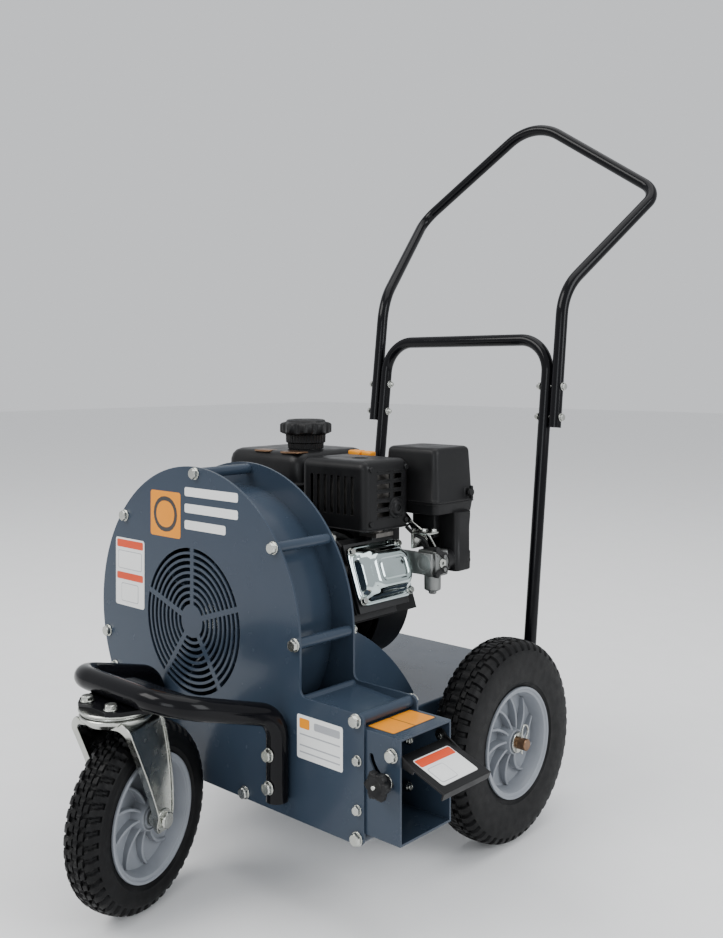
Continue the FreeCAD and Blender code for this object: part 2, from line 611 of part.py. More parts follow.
def clamp_parts():
    """Carriage bolt that rides in the slot with its washer, and the star knob that clamps it."""
    inside = INNER_FRONT + BOX_T + GAP
    at = polar(SLOT_R, STUD_ANGLE, 0, PIVOT)
    stud = rod(M6, V(at.x, inside + 2, at.z), V(at.x, INNER_FRONT - 22, at.z))
    head = rod(6.5, V(at.x, inside + 2, at.z), V(at.x, inside + 5, at.z))
    washer = ring(9, M6 + RUN, V(at.x, INNER_FRONT - GAP, at.z), V(at.x, INNER_FRONT - 1.8, at.z))
    front = INNER_FRONT - 1.8 - GAP
    body = rod(9, V(at.x, front, at.z), V(at.x, front - 17, at.z))
    disc = rod(14, V(at.x, front - 8, at.z), V(at.x, front - 19, at.z))
    lobes = []
    for index in range(6):
        tip = polar(12.5, 60 * index + 15, 0, at)
        lobes.append(rod(5, V(tip.x, front - 8, tip.z), V(tip.x, front - 19, tip.z)))
    knob = fuse([body, disc] + lobes)
    knob = knob.cut(rod(M6 + RUN, V(at.x, front + 1, at.z), V(at.x, INNER_FRONT - 22.5, at.z)))
    return {"clamp_stud": Part.makeCompound([stud.fuse(head), washer]), "clamp_knob": knob}


# ---- impeller and crankshaft --------------------------------------------------------------
def impeller():
    """Open radial wheel: back plate, ten backward swept blades and a keyed hub."""
    back = rod(IMP_R, V(0, IMP_BACK - 3, 0), V(0, IMP_BACK, 0))
    hub = rod(24, V(0, IMP_BACK - 45, 0), V(0, IMP_BACK, 0))
    parts = [back, hub]
    blade = slab_blade()
    for index in range(10):
        copy = blade.copy()
        copy.rotate(V(0, 0, 0), Y, 36 * index)
        parts.append(copy)
    wheel = fuse(parts).cut(rod(SHAFT_R, V(0, IMP_FRONT - 10, 0), V(0, IMP_BACK + 10, 0)))
    wheel.translate(FAN)
    return wheel


def slab_blade():
    """Blade standing on the back plate, with its front edge stepped down towards the eye."""
    flat = [(18, IMP_BACK - 2), (IMP_R - 2, IMP_BACK - 2), (IMP_R - 2, IMP_FRONT + 16),
            (96, IMP_FRONT), (70, IMP_FRONT), (40, IMP_BACK - 30), (18, IMP_BACK - 34)]
    wire = Part.makePolygon([V(x, y, -1.5) for x, y in flat + flat[:1]])
    return Part.Face(wire).extrude(V(0, 0, 3))


def rotor_parts():
    nose, tail = IMP_BACK - 45, RECOIL_REAR - 19
    shaft = fuse([rod(SHAFT_R, V(FAN.x, nose, FAN.z), V(FAN.x, CASE_FRONT - 8, FAN.z)),
                  rod(13, V(FAN.x, CASE_FRONT - 8, FAN.z), V(FAN.x, CASE_REAR + 4, FAN.z)),
                  rod(10, V(FAN.x, CASE_REAR + 4, FAN.z), V(FAN.x, SHROUD_REAR - 21, FAN.z))])
    bolt_head = hexagon(V(FAN.x, nose - 4, FAN.z), V(0, -1, 0), 13, 6)
    bolt_shank = rod(M8, V(FAN.x, nose - 4, FAN.z), V(FAN.x, nose + 25, FAN.z))
    shaft = shaft.cut(rod(M8, V(FAN.x, nose - 1, FAN.z), V(FAN.x, nose + 25, FAN.z)))
    washer = ring(17, M8, V(FAN.x, nose - 4, FAN.z), V(FAN.x, nose, FAN.z))
    return {"crankshaft": shaft, "impeller": impeller(),
            "impeller_bolt": Part.makeCompound([bolt_head.fuse(bolt_shank), washer]),
            "flywheel": flywheel(), "starter_pulley": starter_pulley(tail)}


def flywheel():
    front = CASE_REAR + 12
    disc = rod(88, V(0, front, 0), V(0, front + 18, 0))
    parts = [disc]
    fin = box(48, 86, front + 18, front + 34, -1.5, 1.5)
    for index in range(16):
        copy = fin.copy()
        copy.rotate(V(0, 0, 0), Y, 22.5 * index)
        parts.append(copy)
    wheel = fuse(parts).cut(rod(10, V(0, front - 1, 0), V(0, front + 35, 0)))
    wheel.translate(FAN)
    return wheel


def starter_pulley(rear):
    """Empty rope reel that turns on its own post: a drum between two flanges."""
    reel = fuse([rod(44, V(0, rear - 14, 0), V(0, rear - 12, 0)),
                 rod(36, V(0, rear - 12, 0), V(0, rear - 4, 0)),
                 rod(44, V(0, rear - 4, 0), V(0, rear - 2, 0))])
    reel = reel.cut(rod(8 + RUN, V(0, rear - 20, 0), V(0, rear + 4, 0)))
    reel.translate(FAN)
    return reel


# ---- engine -------------------------------------------------------------------------------
def cyl_point(along_axis, across, y):
    """Point in the cylinder's frame: along its axis, across it (upwards), and y."""
    a = math.radians(CYL_TILT)
    return V(FAN.x + along_axis * math.cos(a) - across * math.sin(a), y,
             FAN.z + along_axis * math.sin(a) + across * math.cos(a))


def cyl_block(s0, s1, y0, y1, t0, t1):
    """Box in the cylinder's frame, s along the axis and t across it."""
    block = box(s0, s1, y0, y1, t0, t1)
    block.rotate(V(0, 0, 0), Y, -CYL_TILT)
    block.translate(FAN)
    return block


CASE_HALF = 60.0                 # half width of the crankcase


def crankcase():
    """Hollow case on a wide foot, with the finned cylinder rising to one side."""
    low, high = ENGINE_BASE + 10, FAN.z + 82
    body = box(FAN.x - CASE_HALF, FAN.x + CASE_HALF, CASE_FRONT, CASE_REAR, low, high)
    body = rounded(body, 12, lambda e: along(e, Y))
    foot = box(FAN.x - 92, FAN.x + 92, CASE_FRONT + 12, CASE_REAR - 12, ENGINE_BASE, ENGINE_BASE + 12)
    parts = [body, foot, cyl_block(30, 132, CYL_Y - 42, CYL_Y + 41, -43, 43)]
    for index in range(8):
        start = 68 + index * 8
        parts.append(cyl_block(start, start + 3, CYL_Y - 54, CYL_Y + 42.5, -56, 56))
    case = fuse(parts)
    case = case.cut(box(FAN.x - 48, FAN.x + 48, CASE_FRONT - 1, CASE_REAR - 10, low + 14, high - 14))
    case = case.cut(rod(13 + RUN, V(FAN.x, CASE_FRONT, FAN.z), V(FAN.x, CASE_REAR + 1, FAN.z)))
    for x, y in FEET:
        case = case.cut(rod(M8 + RUN, V(x, y, ENGINE_BASE - 1), V(x, y, ENGINE_BASE + 13)))
    return case


def crankcase_cover():
    """Side cover on the drive end, with the crankshaft boss and its six screws."""
    half = CASE_HALF - 3
    cover = box(FAN.x - half, FAN.x + half, CASE_FRONT - 10, CASE_FRONT, ENGINE_BASE + 13, FAN.z + 79)
    cover = rounded(cover, 12, lambda e: along(e, Y))
    parts = [cover, rod(30, V(FAN.x, CASE_FRONT - 14, FAN.z), V(FAN.x, CASE_FRONT - 5, FAN.z))]
    for side in (-1, 1):
        for dz in (-80, -6, 66):
            at = V(FAN.x + side * (half - 9), CASE_FRONT - 10, FAN.z + dz)
            parts.append(hexagon(at, V(0, -1, 0), 10, 4))
    cover = fuse(parts)
    return cover.cut(rod(13 + RUN, V(FAN.x, CASE_FRONT - 20, FAN.z), V(FAN.x, CASE_FRONT + 1, FAN.z)))


EXHAUST = V(62, CYL_Y + 18, 414)     # joint between the head's exhaust stub and the muffler
PORT_Y = -59.0                       # joint between the head's intake port and the carburettor


def cylinder_head():
    """Finned head with the exhaust stub on top and the intake port at the rear."""
    parts = [cyl_block(132, 152, CYL_Y - 50, CYL_Y + 46, -40, 40)]
    for index in range(3):
        start = 134 + index * 7
        parts.append(cyl_block(start, start + 3, CYL_Y - 56, CYL_Y + 46, -48, 46))
    parts.append(box(EXHAUST.x - 6, EXHAUST.x + 6, EXHAUST.y - 16, EXHAUST.y + 16, EXHAUST.z - 22, EXHAUST.z))
    parts.append(cyl_block(134, 150, CYL_Y + 40, PORT_Y, -10, 14))
    return fuse(parts)


def valve_cover():
    """Pressed steel rocker cover: a flanged tray with a raised centre panel."""
    flange = cyl_block(152, 155, CYL_Y - 56, CYL_Y + 56, -40, 42)
    tray = cyl_block(152, 176, CYL_Y - 50, CYL_Y + 50, -35, 37)
    panel = cyl_block(174, 179, CYL_Y - 30, CYL_Y + 40, -22, 26)
    cover = fuse([rounded_cyl(flange, 10), rounded_cyl(tray, 11), rounded_cyl(panel, 8)])
    return cover


def rounded_cyl(block, radius):
    axis = cyl_point(1, 0, 0) - cyl_point(0, 0, 0)
    return rounded(block, radius, lambda e: along(e, axis))


def fan_shroud():
    """Sheet cover over the flywheel that ducts cooling air to the cylinder."""
    drum = rod(106, V(FAN.x, CASE_REAR, FAN.z), V(FAN.x, SHROUD_REAR, FAN.z))
    duct = cyl_block(0, 106, CASE_REAR, SHROUD_REAR, -58, 60)
    lug = box(FAN.x - 80, FAN.x + 86, CASE_REAR, SHROUD_REAR, FAN.z, FAN.z + 106)
    hollow = rod(102, V(FAN.x, CASE_REAR - 1, FAN.z), V(FAN.x, SHROUD_REAR - 3, FAN.z))
    duct_hollow = cyl_block(0, 102, CASE_REAR - 1, SHROUD_REAR - 3, -54, 56)
    mouth = rod(62, V(FAN.x, SHROUD_REAR - 5, FAN.z), V(FAN.x, SHROUD_REAR + 1, FAN.z))
    shell = fuse([drum, duct, lug]).cut(hollow).cut(duct_hollow).cut(mouth)
    return shell.cut(box(-300, 300, CASE_REAR - 2, 0, 0, ENGINE_BASE + 2))


def recoil_cover():
    """Domed starter cover with radial air slots and a post for the rope reel."""
    dome = rod(78, V(FAN.x, SHROUD_REAR, FAN.z), V(FAN.x, RECOIL_REAR, FAN.z))
    rim = dome.Edges
    dome = dome.makeFillet(12, [e for e in rim if abs(e.BoundBox.YMin - RECOIL_REAR) < 0.1
                                and abs(e.BoundBox.YMax - RECOIL_REAR) < 0.1])
    hollow = rod(74, V(FAN.x, SHROUD_REAR - 1, FAN.z), V(FAN.x, RECOIL_REAR - 14, FAN.z))
    cavity = rod(60, V(FAN.x, SHROUD_REAR - 1, FAN.z), V(FAN.x, RECOIL_REAR - 3, FAN.z))
    shell = dome.cut(hollow).cut(cavity)
    slot = box(50, 68, SHROUD_REAR + 4, RECOIL_REAR + 2, -2.5, 2.5)
    for index in range(14):
        cut = slot.copy()
        cut.rotate(V(0, 0, 0), Y, index * 360 / 14 + 12)
        cut.translate(FAN)
        shell = shell.cut(cut)
    exit_at = grip_exit()
    eyelet = rod(6.5, exit_at - grip_axis() * 14, exit_at)
    post = rod(8, V(FAN.x, RECOIL_REAR - 38, FAN.z), V(FAN.x, RECOIL_REAR - 2, FAN.z))
    shell = fuse([shell, post, eyelet])
    return shell.cut(rod(2.5, exit_at - grip_axis() * 60, exit_at + grip_axis()))


GRIP_RISE = 10.0                 # how steeply the starter rope leaves, degrees
REEL_R = 38.0                    # radius at which the rope leaves the reel


def grip_axis():
    """Direction in which the rope leaves: out to the left and slightly up."""
    return V(-math.cos(math.radians(GRIP_RISE)), 0, math.sin(math.radians(GRIP_RISE)))


def grip_across():
    return V(math.sin(math.radians(GRIP_RISE)), 0, math.cos(math.radians(GRIP_RISE)))


def grip_exit():
    return V(FAN.x, RECOIL_REAR - 26, FAN.z) + grip_across() * REEL_R + grip_axis() * 74


def recoil_grip():
    """Starter grip with a short end of rope that runs into the eyelet."""
    start = grip_exit() + grip_axis() * GAP
    middle = start + grip_axis() * 20
    neck = rod(6.5, start, start + grip_axis() * 14)
    bar = rod(9, middle - grip_across() * 24, middle + grip_across() * 24)
    rope = rod(2.2, start - grip_axis() * 20, start)
    return fuse([neck, bar, rope])


TANK_X0, TANK_X1, TANK_Y0, TANK_Y1, TANK_Z0, TANK_Z1 = -216.0, -43.0, -148.0, 16.0, 442.0, 528.0
CAP_AT = V(-96, -82, TANK_Z1)


def fuel_tank():
    tank = box(TANK_X0, TANK_X1, TANK_Y0, TANK_Y1, TANK_Z0, TANK_Z1)
    tank = rounded(tank, 22, lambda e: along(e, Z))
    tank = tank.makeFillet(9, [e for e in tank.Edges if abs(e.BoundBox.ZMin - e.BoundBox.ZMax) < 0.1])
    cavity = box(TANK_X0 + 4, TANK_X1 - 4, TANK_Y0 + 4, TANK_Y1 - 4, TANK_Z0 + 4, TANK_Z1 - 4)
    neck = ring(23, 19, CAP_AT - Z * 6, CAP_AT + Z * 7)
    foot = box(-132, -62, -66, -12, FAN.z + 106, TANK_Z0 + 2)
    tank = fuse([tank.cut(rounded(cavity, 18, lambda e: along(e, Z))), neck, foot])
    return tank.cut(rod(19, CAP_AT - Z * 12, CAP_AT + Z * 12))


def fuel_cap():
    """Two-step cap: a ribbed skirt below and a winged grip above."""
    skirt = ring(27, 23.3, CAP_AT + Z, CAP_AT + Z * 16)
    body = rod(30, CAP_AT + Z * 9, CAP_AT + Z * 25)
    grip = rod(36, CAP_AT + Z * 23, CAP_AT + Z * 41)
    crown = rod(31, CAP_AT + Z * 41, CAP_AT + Z * 45)
    parts = [skirt, body.cut(rod(23.3, CAP_AT + Z * 8, CAP_AT + Z * 13)), grip, crown]
    for index in range(8):
        a = math.radians(45 * index)
        tip = CAP_AT + V(35 * math.cos(a), 35 * math.sin(a), 24)
        parts.append(rod(4.5, tip, tip + Z * 15))
    return fuse(parts)


GUARD_X0, GUARD_X1, GUARD_Y0, GUARD_Y1, GUARD_Z0, GUARD_Z1 = -37.0, 88.0, -151.0, -55.0, 426.0, 523.0


def muffler():
    can = box(GUARD_X0 + 12, GUARD_X1 - 12, GUARD_Y0 + 12, GUARD_Y1 - 12, GUARD_Z0 + 14, GUARD_Z1 - 14)
    can = rounded(can, 16, lambda e: along(e, X))
    hollow = box(GUARD_X0 + 16, GUARD_X1 - 16, GUARD_Y0 + 18, GUARD_Y1 - 18, GUARD_Z0 + 20, GUARD_Z1 - 20)
    pipe = rod(11, EXHAUST, EXHAUST + Z * 30)
    flange = box(EXHAUST.x - 16, EXHAUST.x + 16, EXHAUST.y - 18, EXHAUST.y + 18, EXHAUST.z, EXHAUST.z + 6)
    return fuse([can, pipe, flange]).cut(hollow)


def muffler_guard():
    """Louvred sheet guard round the muffler, open underneath."""
    x0, x1, y0, y1, z0, z1 = GUARD_X0, GUARD_X1, GUARD_Y0, GUARD_Y1, GUARD_Z0, GUARD_Z1
    shell = rounded(box(x0, x1, y0, y1, z0, z1), 12, lambda e: e.BoundBox.ZMax > z0 + 1)
    hollow = box(x0 + 2, x1 - 2, y0 + 2, y1 - 2, z0 - 12, z1 - 2)
    shell = shell.cut(rounded(hollow, 10, lambda e: e.BoundBox.ZMax > z0))
    for index in range(5):
        z = z0 + 18 + index * 13
        shell = shell.cut(box(x1 - 4, x1 + 1, y0 + 26, y0 + 52, z, z + 7))
        shell = shell.cut(box(x1 - 4, x1 + 1, y0 + 60, y0 + 78, z, z + 7))
    for index in range(7):
        x = x0 + 20 + index * 13
        shell = shell.cut(box(x, x + 6, y0 - 1, y0 + 4, z0 + 22, z1 - 22))
    studs = [rod(4, V(x, (y0 + y1) / 2, z1 - 14), V(x, (y0 + y1) / 2, z1 - 1)) for x in (x0 + 30, x1 - 30)]
    return fuse([shell] + studs)


AIR = {"x0": 27.0, "x1": 130.0, "y0": -48.0, "y1": 47.0, "z0": 442.0, "z1": 537.0}
CLIP = V(129, 30, 470)           # clip screw on the cover's side
CARB_Z = 375.0


def air_cleaner():
    """Base tray with its intake elbow, the filter element, the cover and the clip screw at its side."""
    x0, x1, y0, y1, z0, z1 = AIR.values()
    base = rounded(box(x0, x1, y0, y1, z0, z0 + 16), 16, lambda e: along(e, Z))
    elbow = rounded(box(x1 - 34, x1 + 4, CARB_Y1 + 14, y1 - 14, CARB_Z - 18, z0 + 2), 8,
                    lambda e: along(e, Z))
    horn = rod(15, V(x1 - 15, CARB_Y1, CARB_Z), V(x1 - 15, y1 - 36, CARB_Z))
    tab = box(x1 - 11, x1 - 8, CLIP.y - 6, CLIP.y + 6, z0 + 8, CLIP.z + 6)
    stem = rod(M6, V(x1 - 10, CLIP.y, CLIP.z), CLIP + X * 7)
    tray = fuse([base, elbow, horn])
    tray = tray.cut(rod(10, V(x1 - 15, CARB_Y1 - 1, CARB_Z), V(x1 - 15, y1 - 36, CARB_Z)))
    tray = fuse([tray, tab, stem])
    cover = rounded(box(x0 + 1, x1 - 1, y0 + 1, y1 - 1, z0 + 16, z1), 16, lambda e: along(e, Z))
    cover = cover.makeFillet(10, [e for e in cover.Edges if e.BoundBox.ZMin > z1 - 0.1])
    hollow = rounded(box(x0 + 4, x1 - 4, y0 + 4, y1 - 4, z0 + 10, z1 - 4), 13, lambda e: along(e, Z))
    hollow = hollow.makeFillet(7, [e for e in hollow.Edges if e.BoundBox.ZMin > z1 - 4.1])
    cover = cover.cut(hollow)
    mid = V((x0 + x1) / 2, (y0 + y1) / 2, 0)
    cover = cover.cut(rod(M6 + RUN, CLIP - X * 9, CLIP + X * 2))
    element = box(x0 + 14, x1 - 14, y0 + 14, y1 - 14, z0 + 16, z1 - 12)
    element = element.cut(rod(20, mid + Z * z0, mid + Z * (z1 - 20)))
    knob = fuse([rod(6, CLIP + X * GAP, CLIP + X * 7),
                 box(CLIP.x + 2, CLIP.x + 8, CLIP.y - 2, CLIP.y + 2, CLIP.z - 10, CLIP.z + 10)])
    knob = knob.cut(rod(M6 + RUN, CLIP - X, CLIP + X * 7.2))
    return {"air_cleaner_base": tray, "air_filter": element, "air_cleaner_cover": cover,
            "air_cleaner_knob": knob}


CARB_Y0, CARB_Y1 = PORT_Y, -18.0


def carburettor():
    """Body, float bowl and the flange that joins it to the head."""
    x = AIR["x1"] - 15
    middle = CARB_Y0 + 22
    parts = [rod(14, V(x, CARB_Y0, CARB_Z), V(x, CARB_Y1, CARB_Z)),
             box(x - 17, x + 17, CARB_Y0 + 9, CARB_Y1 - 4, CARB_Z - 18, CARB_Z + 18),
             rod(12, V(x, middle, CARB_Z - 40), V(x, middle, CARB_Z - 12)),
             hexagon(V(x, middle, CARB_Z - 40), V(0, 0, -1), 10, 5),
             box(66, x + 15, CARB_Y0, CARB_Y0 + 6, CARB_Z - 16, CARB_Z + 16)]
    return fuse(parts).cut(rod(9, V(x, CARB_Y0 - 1, CARB_Z), V(x, CARB_Y1 + 1, CARB_Z)))


def lever(pivot, tip, radius, thick):
    """Flat sheet lever on a round boss, from pivot to tip, facing +X."""
    arm = tip - pivot
    side = X.cross(arm).normalize() * radius
    points = [pivot + side, tip + side * 0.7, tip - side * 0.7, pivot - side, pivot + side]
    plate = Part.Face(Part.makePolygon(points)).extrude(X * thick)
    return fuse([plate, rod(radius * 1.3, pivot, pivot + X * thick),
                 rod(radius * 0.95, tip, tip + X * (thick + 4))])


def controls():
    x = AIR["x1"] + 2 + GAP
    choke = lever(V(x, CARB_Y1 - 14, CARB_Z + 10), V(x, CARB_Y1 - 36, CARB_Z + 22), 4.0, 2.0)
    fuel = lever(V(x, CARB_Y1 - 14, CARB_Z - 9), V(x, CARB_Y1 - 36, CARB_Z - 14), 4.0, 2.0)
    pivot = V(FAN.x + 70, SHROUD_REAR + GAP, FAN.z + 60)
    throttle = fuse([rod(8, pivot, pivot + Y * 3),
                     box(pivot.x - 4, pivot.x + 4, pivot.y, pivot.y + 3, pivot.z, pivot.z + 34),
                     rod(5, pivot + Z * 34, pivot + V(0, 12, 34))])
    at = V(FAN.x + 40, SHROUD_REAR + GAP, FAN.z + 88)
    switch = fuse([rod(12, at, at + Y * 7),
                   box(at.x - 3, at.x + 3, at.y + 6, at.y + 16, at.z - 12, at.z + 12)])
    return {"choke_lever": choke, "fuel_lever": fuel, "throttle_lever": throttle,
            "engine_switch": switch}


def lower_shroud():
    """Sheet air guide under the cylinder."""
    return fuse([cyl_block(68, 120, CYL_Y - 56, CYL_Y + 42, -58.5, -56),
                 cyl_block(68, 120, CYL_Y - 56, CYL_Y - 54, -58.5, -20)])


def spark_plug():
    """Plug in the head's front face, with its rubber cap."""
    base = cyl_point(142, 14, CYL_Y - 56)
    hexa = hexagon(base, V(0, -1, 0), 16, 9)
    body = rod(5, base - Y * 9, base - Y * 16)
    cap = rod(8.5, base - Y * 16, base - Y * 34)
    return fuse([hexa, body, cap])


def oil_plugs():
    """Filler plugs on both sides of the crankcase and the drain bolt."""
    solids = []
    for side in (-1, 1):
        at, out = V(FAN.x + side * CASE_HALF, CYL_Y - 12, ENGINE_BASE + 34), V(side, 0, 0)
        solids.append(fuse([rod(11, at, at + out * 10), rod(15, at + out * 10, at + out * 18)]))
    solids.append(hexagon(V(FAN.x + CASE_HALF, CYL_Y - 47, ENGINE_BASE + 30), X, 14, 7))
    return Part.makeCompound(solids)


def engine_bolts():
    solids = []
    for x, y in FEET:
        solids += bolt(V(x, y, ENGINE_BASE + 12), Z, M8, ENGINE_BASE + 12 - BASE_TOP + BASE_T)
    return Part.makeCompound(solids)


# ---- handle -------------------------------------------------------------------------------
JOIN_Z = (623.0, 576.0)          # heights of the bolts that join the two handle tubes


def lower_handle():
    low, high = 148.0, CROSS_Z
    right = [V(LOWER_X, upright_y(low), low), V(LOWER_X, upright_y(high), high)]
    left = [V(-p.x, p.y, p.z) for p in reversed(right)]
    frame = tube(right + left, [52, 52], TUBE_R, TUBE_WALL)
    for z in HANDLE_FIX + JOIN_Z:
        frame = frame.cut(rod(M6 + RUN, V(-250, upright_y(z), z), V(250, upright_y(z), z)))
    return frame


def upper_handle():
    right = [V(UPPER_X, upright_y(560), 560), V(UPPER_X, upright_y(772), 772), V(246, 395, 942)]
    left = [V(-p.x, p.y, p.z) for p in reversed(right)]
    frame = tube(right + [V(0, 407, 1101)] + left, [95, 36, 95, 36, 95], TUBE_R, TUBE_WALL)
    for z in JOIN_Z:
        frame = frame.cut(rod(M6 + RUN, V(-250, upright_y(z), z), V(250, upright_y(z), z)))
    return frame


def handle_bolts():
    solids = []
    for side in (-1, 1):
        axis = V(side, 0, 0)
        for z in JOIN_Z:
            at = V(side * (UPPER_X + TUBE_R), upright_y(z), z)
            solids += bolt(at, axis, M6, UPPER_X - LOWER_X + 2 * TUBE_R)
        for z in HANDLE_FIX:
            at = V(side * (LOWER_X + TUBE_R), upright_y(z), z)
            solids += bolt(at, axis, M6, 2 * TUBE_R + 4)
    return Part.makeCompound(solids)


# ---- all parts ----------------------------------------------------------------------------
def build():
    parts = {
        "base_frame": base_frame(), "base_gussets": gussets(), "guard_bar": guard_bar(),
        "guard_bar_bolts": bar_bolts(), "caster_mount_plate": caster_mount(),
        "caster_top_plate": caster_top(), "housing_front_plate": front_plate(),
        "housing_rear_plate": rear_plate(), "scroll_wall": scroll_wall(),
        "plate_spacers": plate_spacers(), "housing_bolts": housing_bolts(),
        "outlet_box": outlet_box(), "outlet_bolts": outlet_bolts(), "deflector_flap": deflector(),
        "crankcase": crankcase(), "crankcase_cover": crankcase_cover(),
        "cylinder_head": cylinder_head(), "valve_cover": valve_cover(), "fan_shroud": fan_shroud(),
        "recoil_cover": recoil_cover(), "recoil_grip": recoil_grip(), "fuel_tank": fuel_tank(),
        "fuel_cap": fuel_cap(), "muffler": muffler(), "muffler_guard": muffler_guard(),
        "carburettor": carburettor(), "lower_shroud": lower_shroud(), "spark_plug": spark_plug(),
        "oil_plugs": oil_plugs(), "engine_bolts": engine_bolts(), "lower_handle": lower_handle(),
        "upper_handle": upper_handle(), "handle_bolts": handle_bolts(),
    }
    for group in (rear_wheels(), rear_axle_parts(), caster_parts(), clamp_parts(), rotor_parts(),
                  air_cleaner(), controls()):
        parts.update(group)
    return parts


def main():
    os.makedirs("parts", exist_ok=True)
    for name, shape in build().items():
        shape.translate(SHIFT)
        shape.exportStep("parts/" + name + ".step")
        solids = shape.Solids
        print(name, len(solids), "solids", "valid" if shape.isValid() else "INVALID",
              round(sum(solid.Volume for solid in solids) / 1000), "cm3")


main()
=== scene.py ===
"""Looks of the walk behind leaf blower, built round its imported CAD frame.

Lengths in the helpers are millimetres in the part's own layout: x = 0 is the middle plane, y = 0
the rear axle and z = 0 the floor. at() turns a layout point into a point of the row frame.
"""

import json
import math

import bmesh
import bpy
from mathutils import Matrix, Vector


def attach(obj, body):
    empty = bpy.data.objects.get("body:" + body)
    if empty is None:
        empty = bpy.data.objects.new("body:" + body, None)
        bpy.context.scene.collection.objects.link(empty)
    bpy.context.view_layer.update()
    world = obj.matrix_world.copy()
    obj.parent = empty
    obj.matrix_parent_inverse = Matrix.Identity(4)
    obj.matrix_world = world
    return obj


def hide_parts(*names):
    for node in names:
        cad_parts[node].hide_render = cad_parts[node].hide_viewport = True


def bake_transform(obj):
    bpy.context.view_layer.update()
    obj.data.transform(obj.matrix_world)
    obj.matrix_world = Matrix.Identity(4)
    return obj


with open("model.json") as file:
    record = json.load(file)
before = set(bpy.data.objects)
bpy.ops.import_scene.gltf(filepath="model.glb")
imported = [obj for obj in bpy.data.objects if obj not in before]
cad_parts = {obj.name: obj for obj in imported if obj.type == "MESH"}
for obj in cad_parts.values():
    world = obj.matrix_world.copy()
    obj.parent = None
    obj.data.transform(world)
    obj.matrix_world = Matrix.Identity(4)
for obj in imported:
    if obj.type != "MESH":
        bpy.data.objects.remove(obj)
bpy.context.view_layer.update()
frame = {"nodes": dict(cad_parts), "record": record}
NODES = frame["nodes"]
MM = 0.001
SHIFT = Vector((-47.2, 73.2, 0.0))      # from the layout's origin to the frame's
X, Y, Z = Vector((1, 0, 0)), Vector((0, 1, 0)), Vector((0, 0, 1))

# layout dimensions, as in the frame: wheels and caster
REAR_R, REAR_W, REAR_X, REAR_BLOCKS = 137.0, 58.0, 209.0, 52
FRONT_R, FRONT_W, FRONT_BLOCKS, TRAIL, CASTER_TURN = 112.0, 52.0, 46, 40.0, 16.0
SWIVEL = Vector((0, -489, 0))
CROWN_Z, PLATE_UNDER_Z = 238.0, 255.0
RIM_R, SEAT_R, HUB_R, AXLE_R, AXLE_END = 75.0, 69.0, 17.0, 7.95, 250.0
REAR_BORE, FRONT_BORE = 8.05, 6.05
SAMPLES = 8                      # tread samples in one block's pitch

# housing, outlet and engine
FAN = Vector((-59, 0, 315))
FRONT_Y, INNER_FRONT, INNER_REAR, REAR_Y = -331.0, -328.0, -237.0, -234.0
DUCT_LOW, DUCT_HIGH = 125.0, 243.0
PIVOT = Vector((288.5, 0, 223))
CYL_Y, CYL_TILT = -116.0, 20.0
AIR_X, AIR_Y = 78.5, -0.5
CLIP = Vector((129, 30, 470))
TANK = (-129.5, -66.0, 86.5, 82.0, 442.0, 528.0)      # middle x and y, half sizes, low and top
CARB_SIDE_Y = -36.0
FOOT_X, FOOT_Y, FOOT_Z, DECK_UNDER_Z = 72, (-183.0, -107.4), FAN.z - 94, 194

# guard bar, handle tubes and bolts
BAR_X, BAR_LEG_Y, BAR_R, BAR_BOLTS = 121.0, FRONT_Y - 13.5, 13.5, (190.0, 151.0)
TUBE_R, LOWER_X, UPPER_X = 9.5, 165.0, 184.2
HANDLE_FIX, JOIN_Z, CROSS_Z = (184.0, 160.0), (623.0, 576.0), 696.0
M8, M6 = 4.0, 3.0                # bolt radii
WASHER_R, WASHER_T, HEAD_W, HEAD_H = 2.1, 0.4, 3.25, 1.3      # for a bolt of radius 1

# starter rope: its direction, the direction of the grip and where it leaves the cover
RISE = math.radians(10)
PULL = Vector((-math.cos(RISE), 0, math.sin(RISE)))
ACROSS = Vector((math.sin(RISE), 0, math.cos(RISE)))
ROPE_OUT = Vector((FAN.x, 5, FAN.z)) + ACROSS * 38 + PULL * 74

# camera and studio
LENS, LENS_SHIFT = 39.5, (0.0013, -0.1052)
CAMERA_AT, CAMERA_TURN = (1026, -1190, 647.8), 42.33
SKY, SKY_STRENGTH = (0.93, 0.95, 0.98, 1), 0.85
FLOOR_REACH, FLOOR_DROP = 14.0, 0.0004


def at(point):
    """Layout point in millimetres as a point of the frame in metres."""
    return (Vector(point) + SHIFT) * MM


# ---- camera, floor and light
def aim(obj, target):
    obj.rotation_euler = (Vector(target) - obj.location).to_track_quat("-Z", "Y").to_euler()


def camera():
    data = bpy.data.cameras.new("camera")
    data.sensor_width = 36.0
    data.lens = LENS
    data.shift_x, data.shift_y = LENS_SHIFT
    data.clip_start, data.clip_end = 0.05, 60.0
    obj = bpy.data.objects.new("camera", data)
    obj.location = at(CAMERA_AT)
    obj.rotation_euler = (math.radians(90), 0, math.radians(CAMERA_TURN))
    bpy.context.scene.collection.objects.link(obj)
    bpy.context.scene.camera = obj


def area_light(name, location, target, size, power, colour=(1, 1, 1)):
    data = bpy.data.lights.new(name, "AREA")
    data.shape = "RECTANGLE"
    data.size, data.size_y = size
    data.energy = power
    data.color = colour
    obj = bpy.data.objects.new(name, data)
    obj.location = location
    aim(obj, target)
    bpy.context.scene.collection.objects.link(obj)


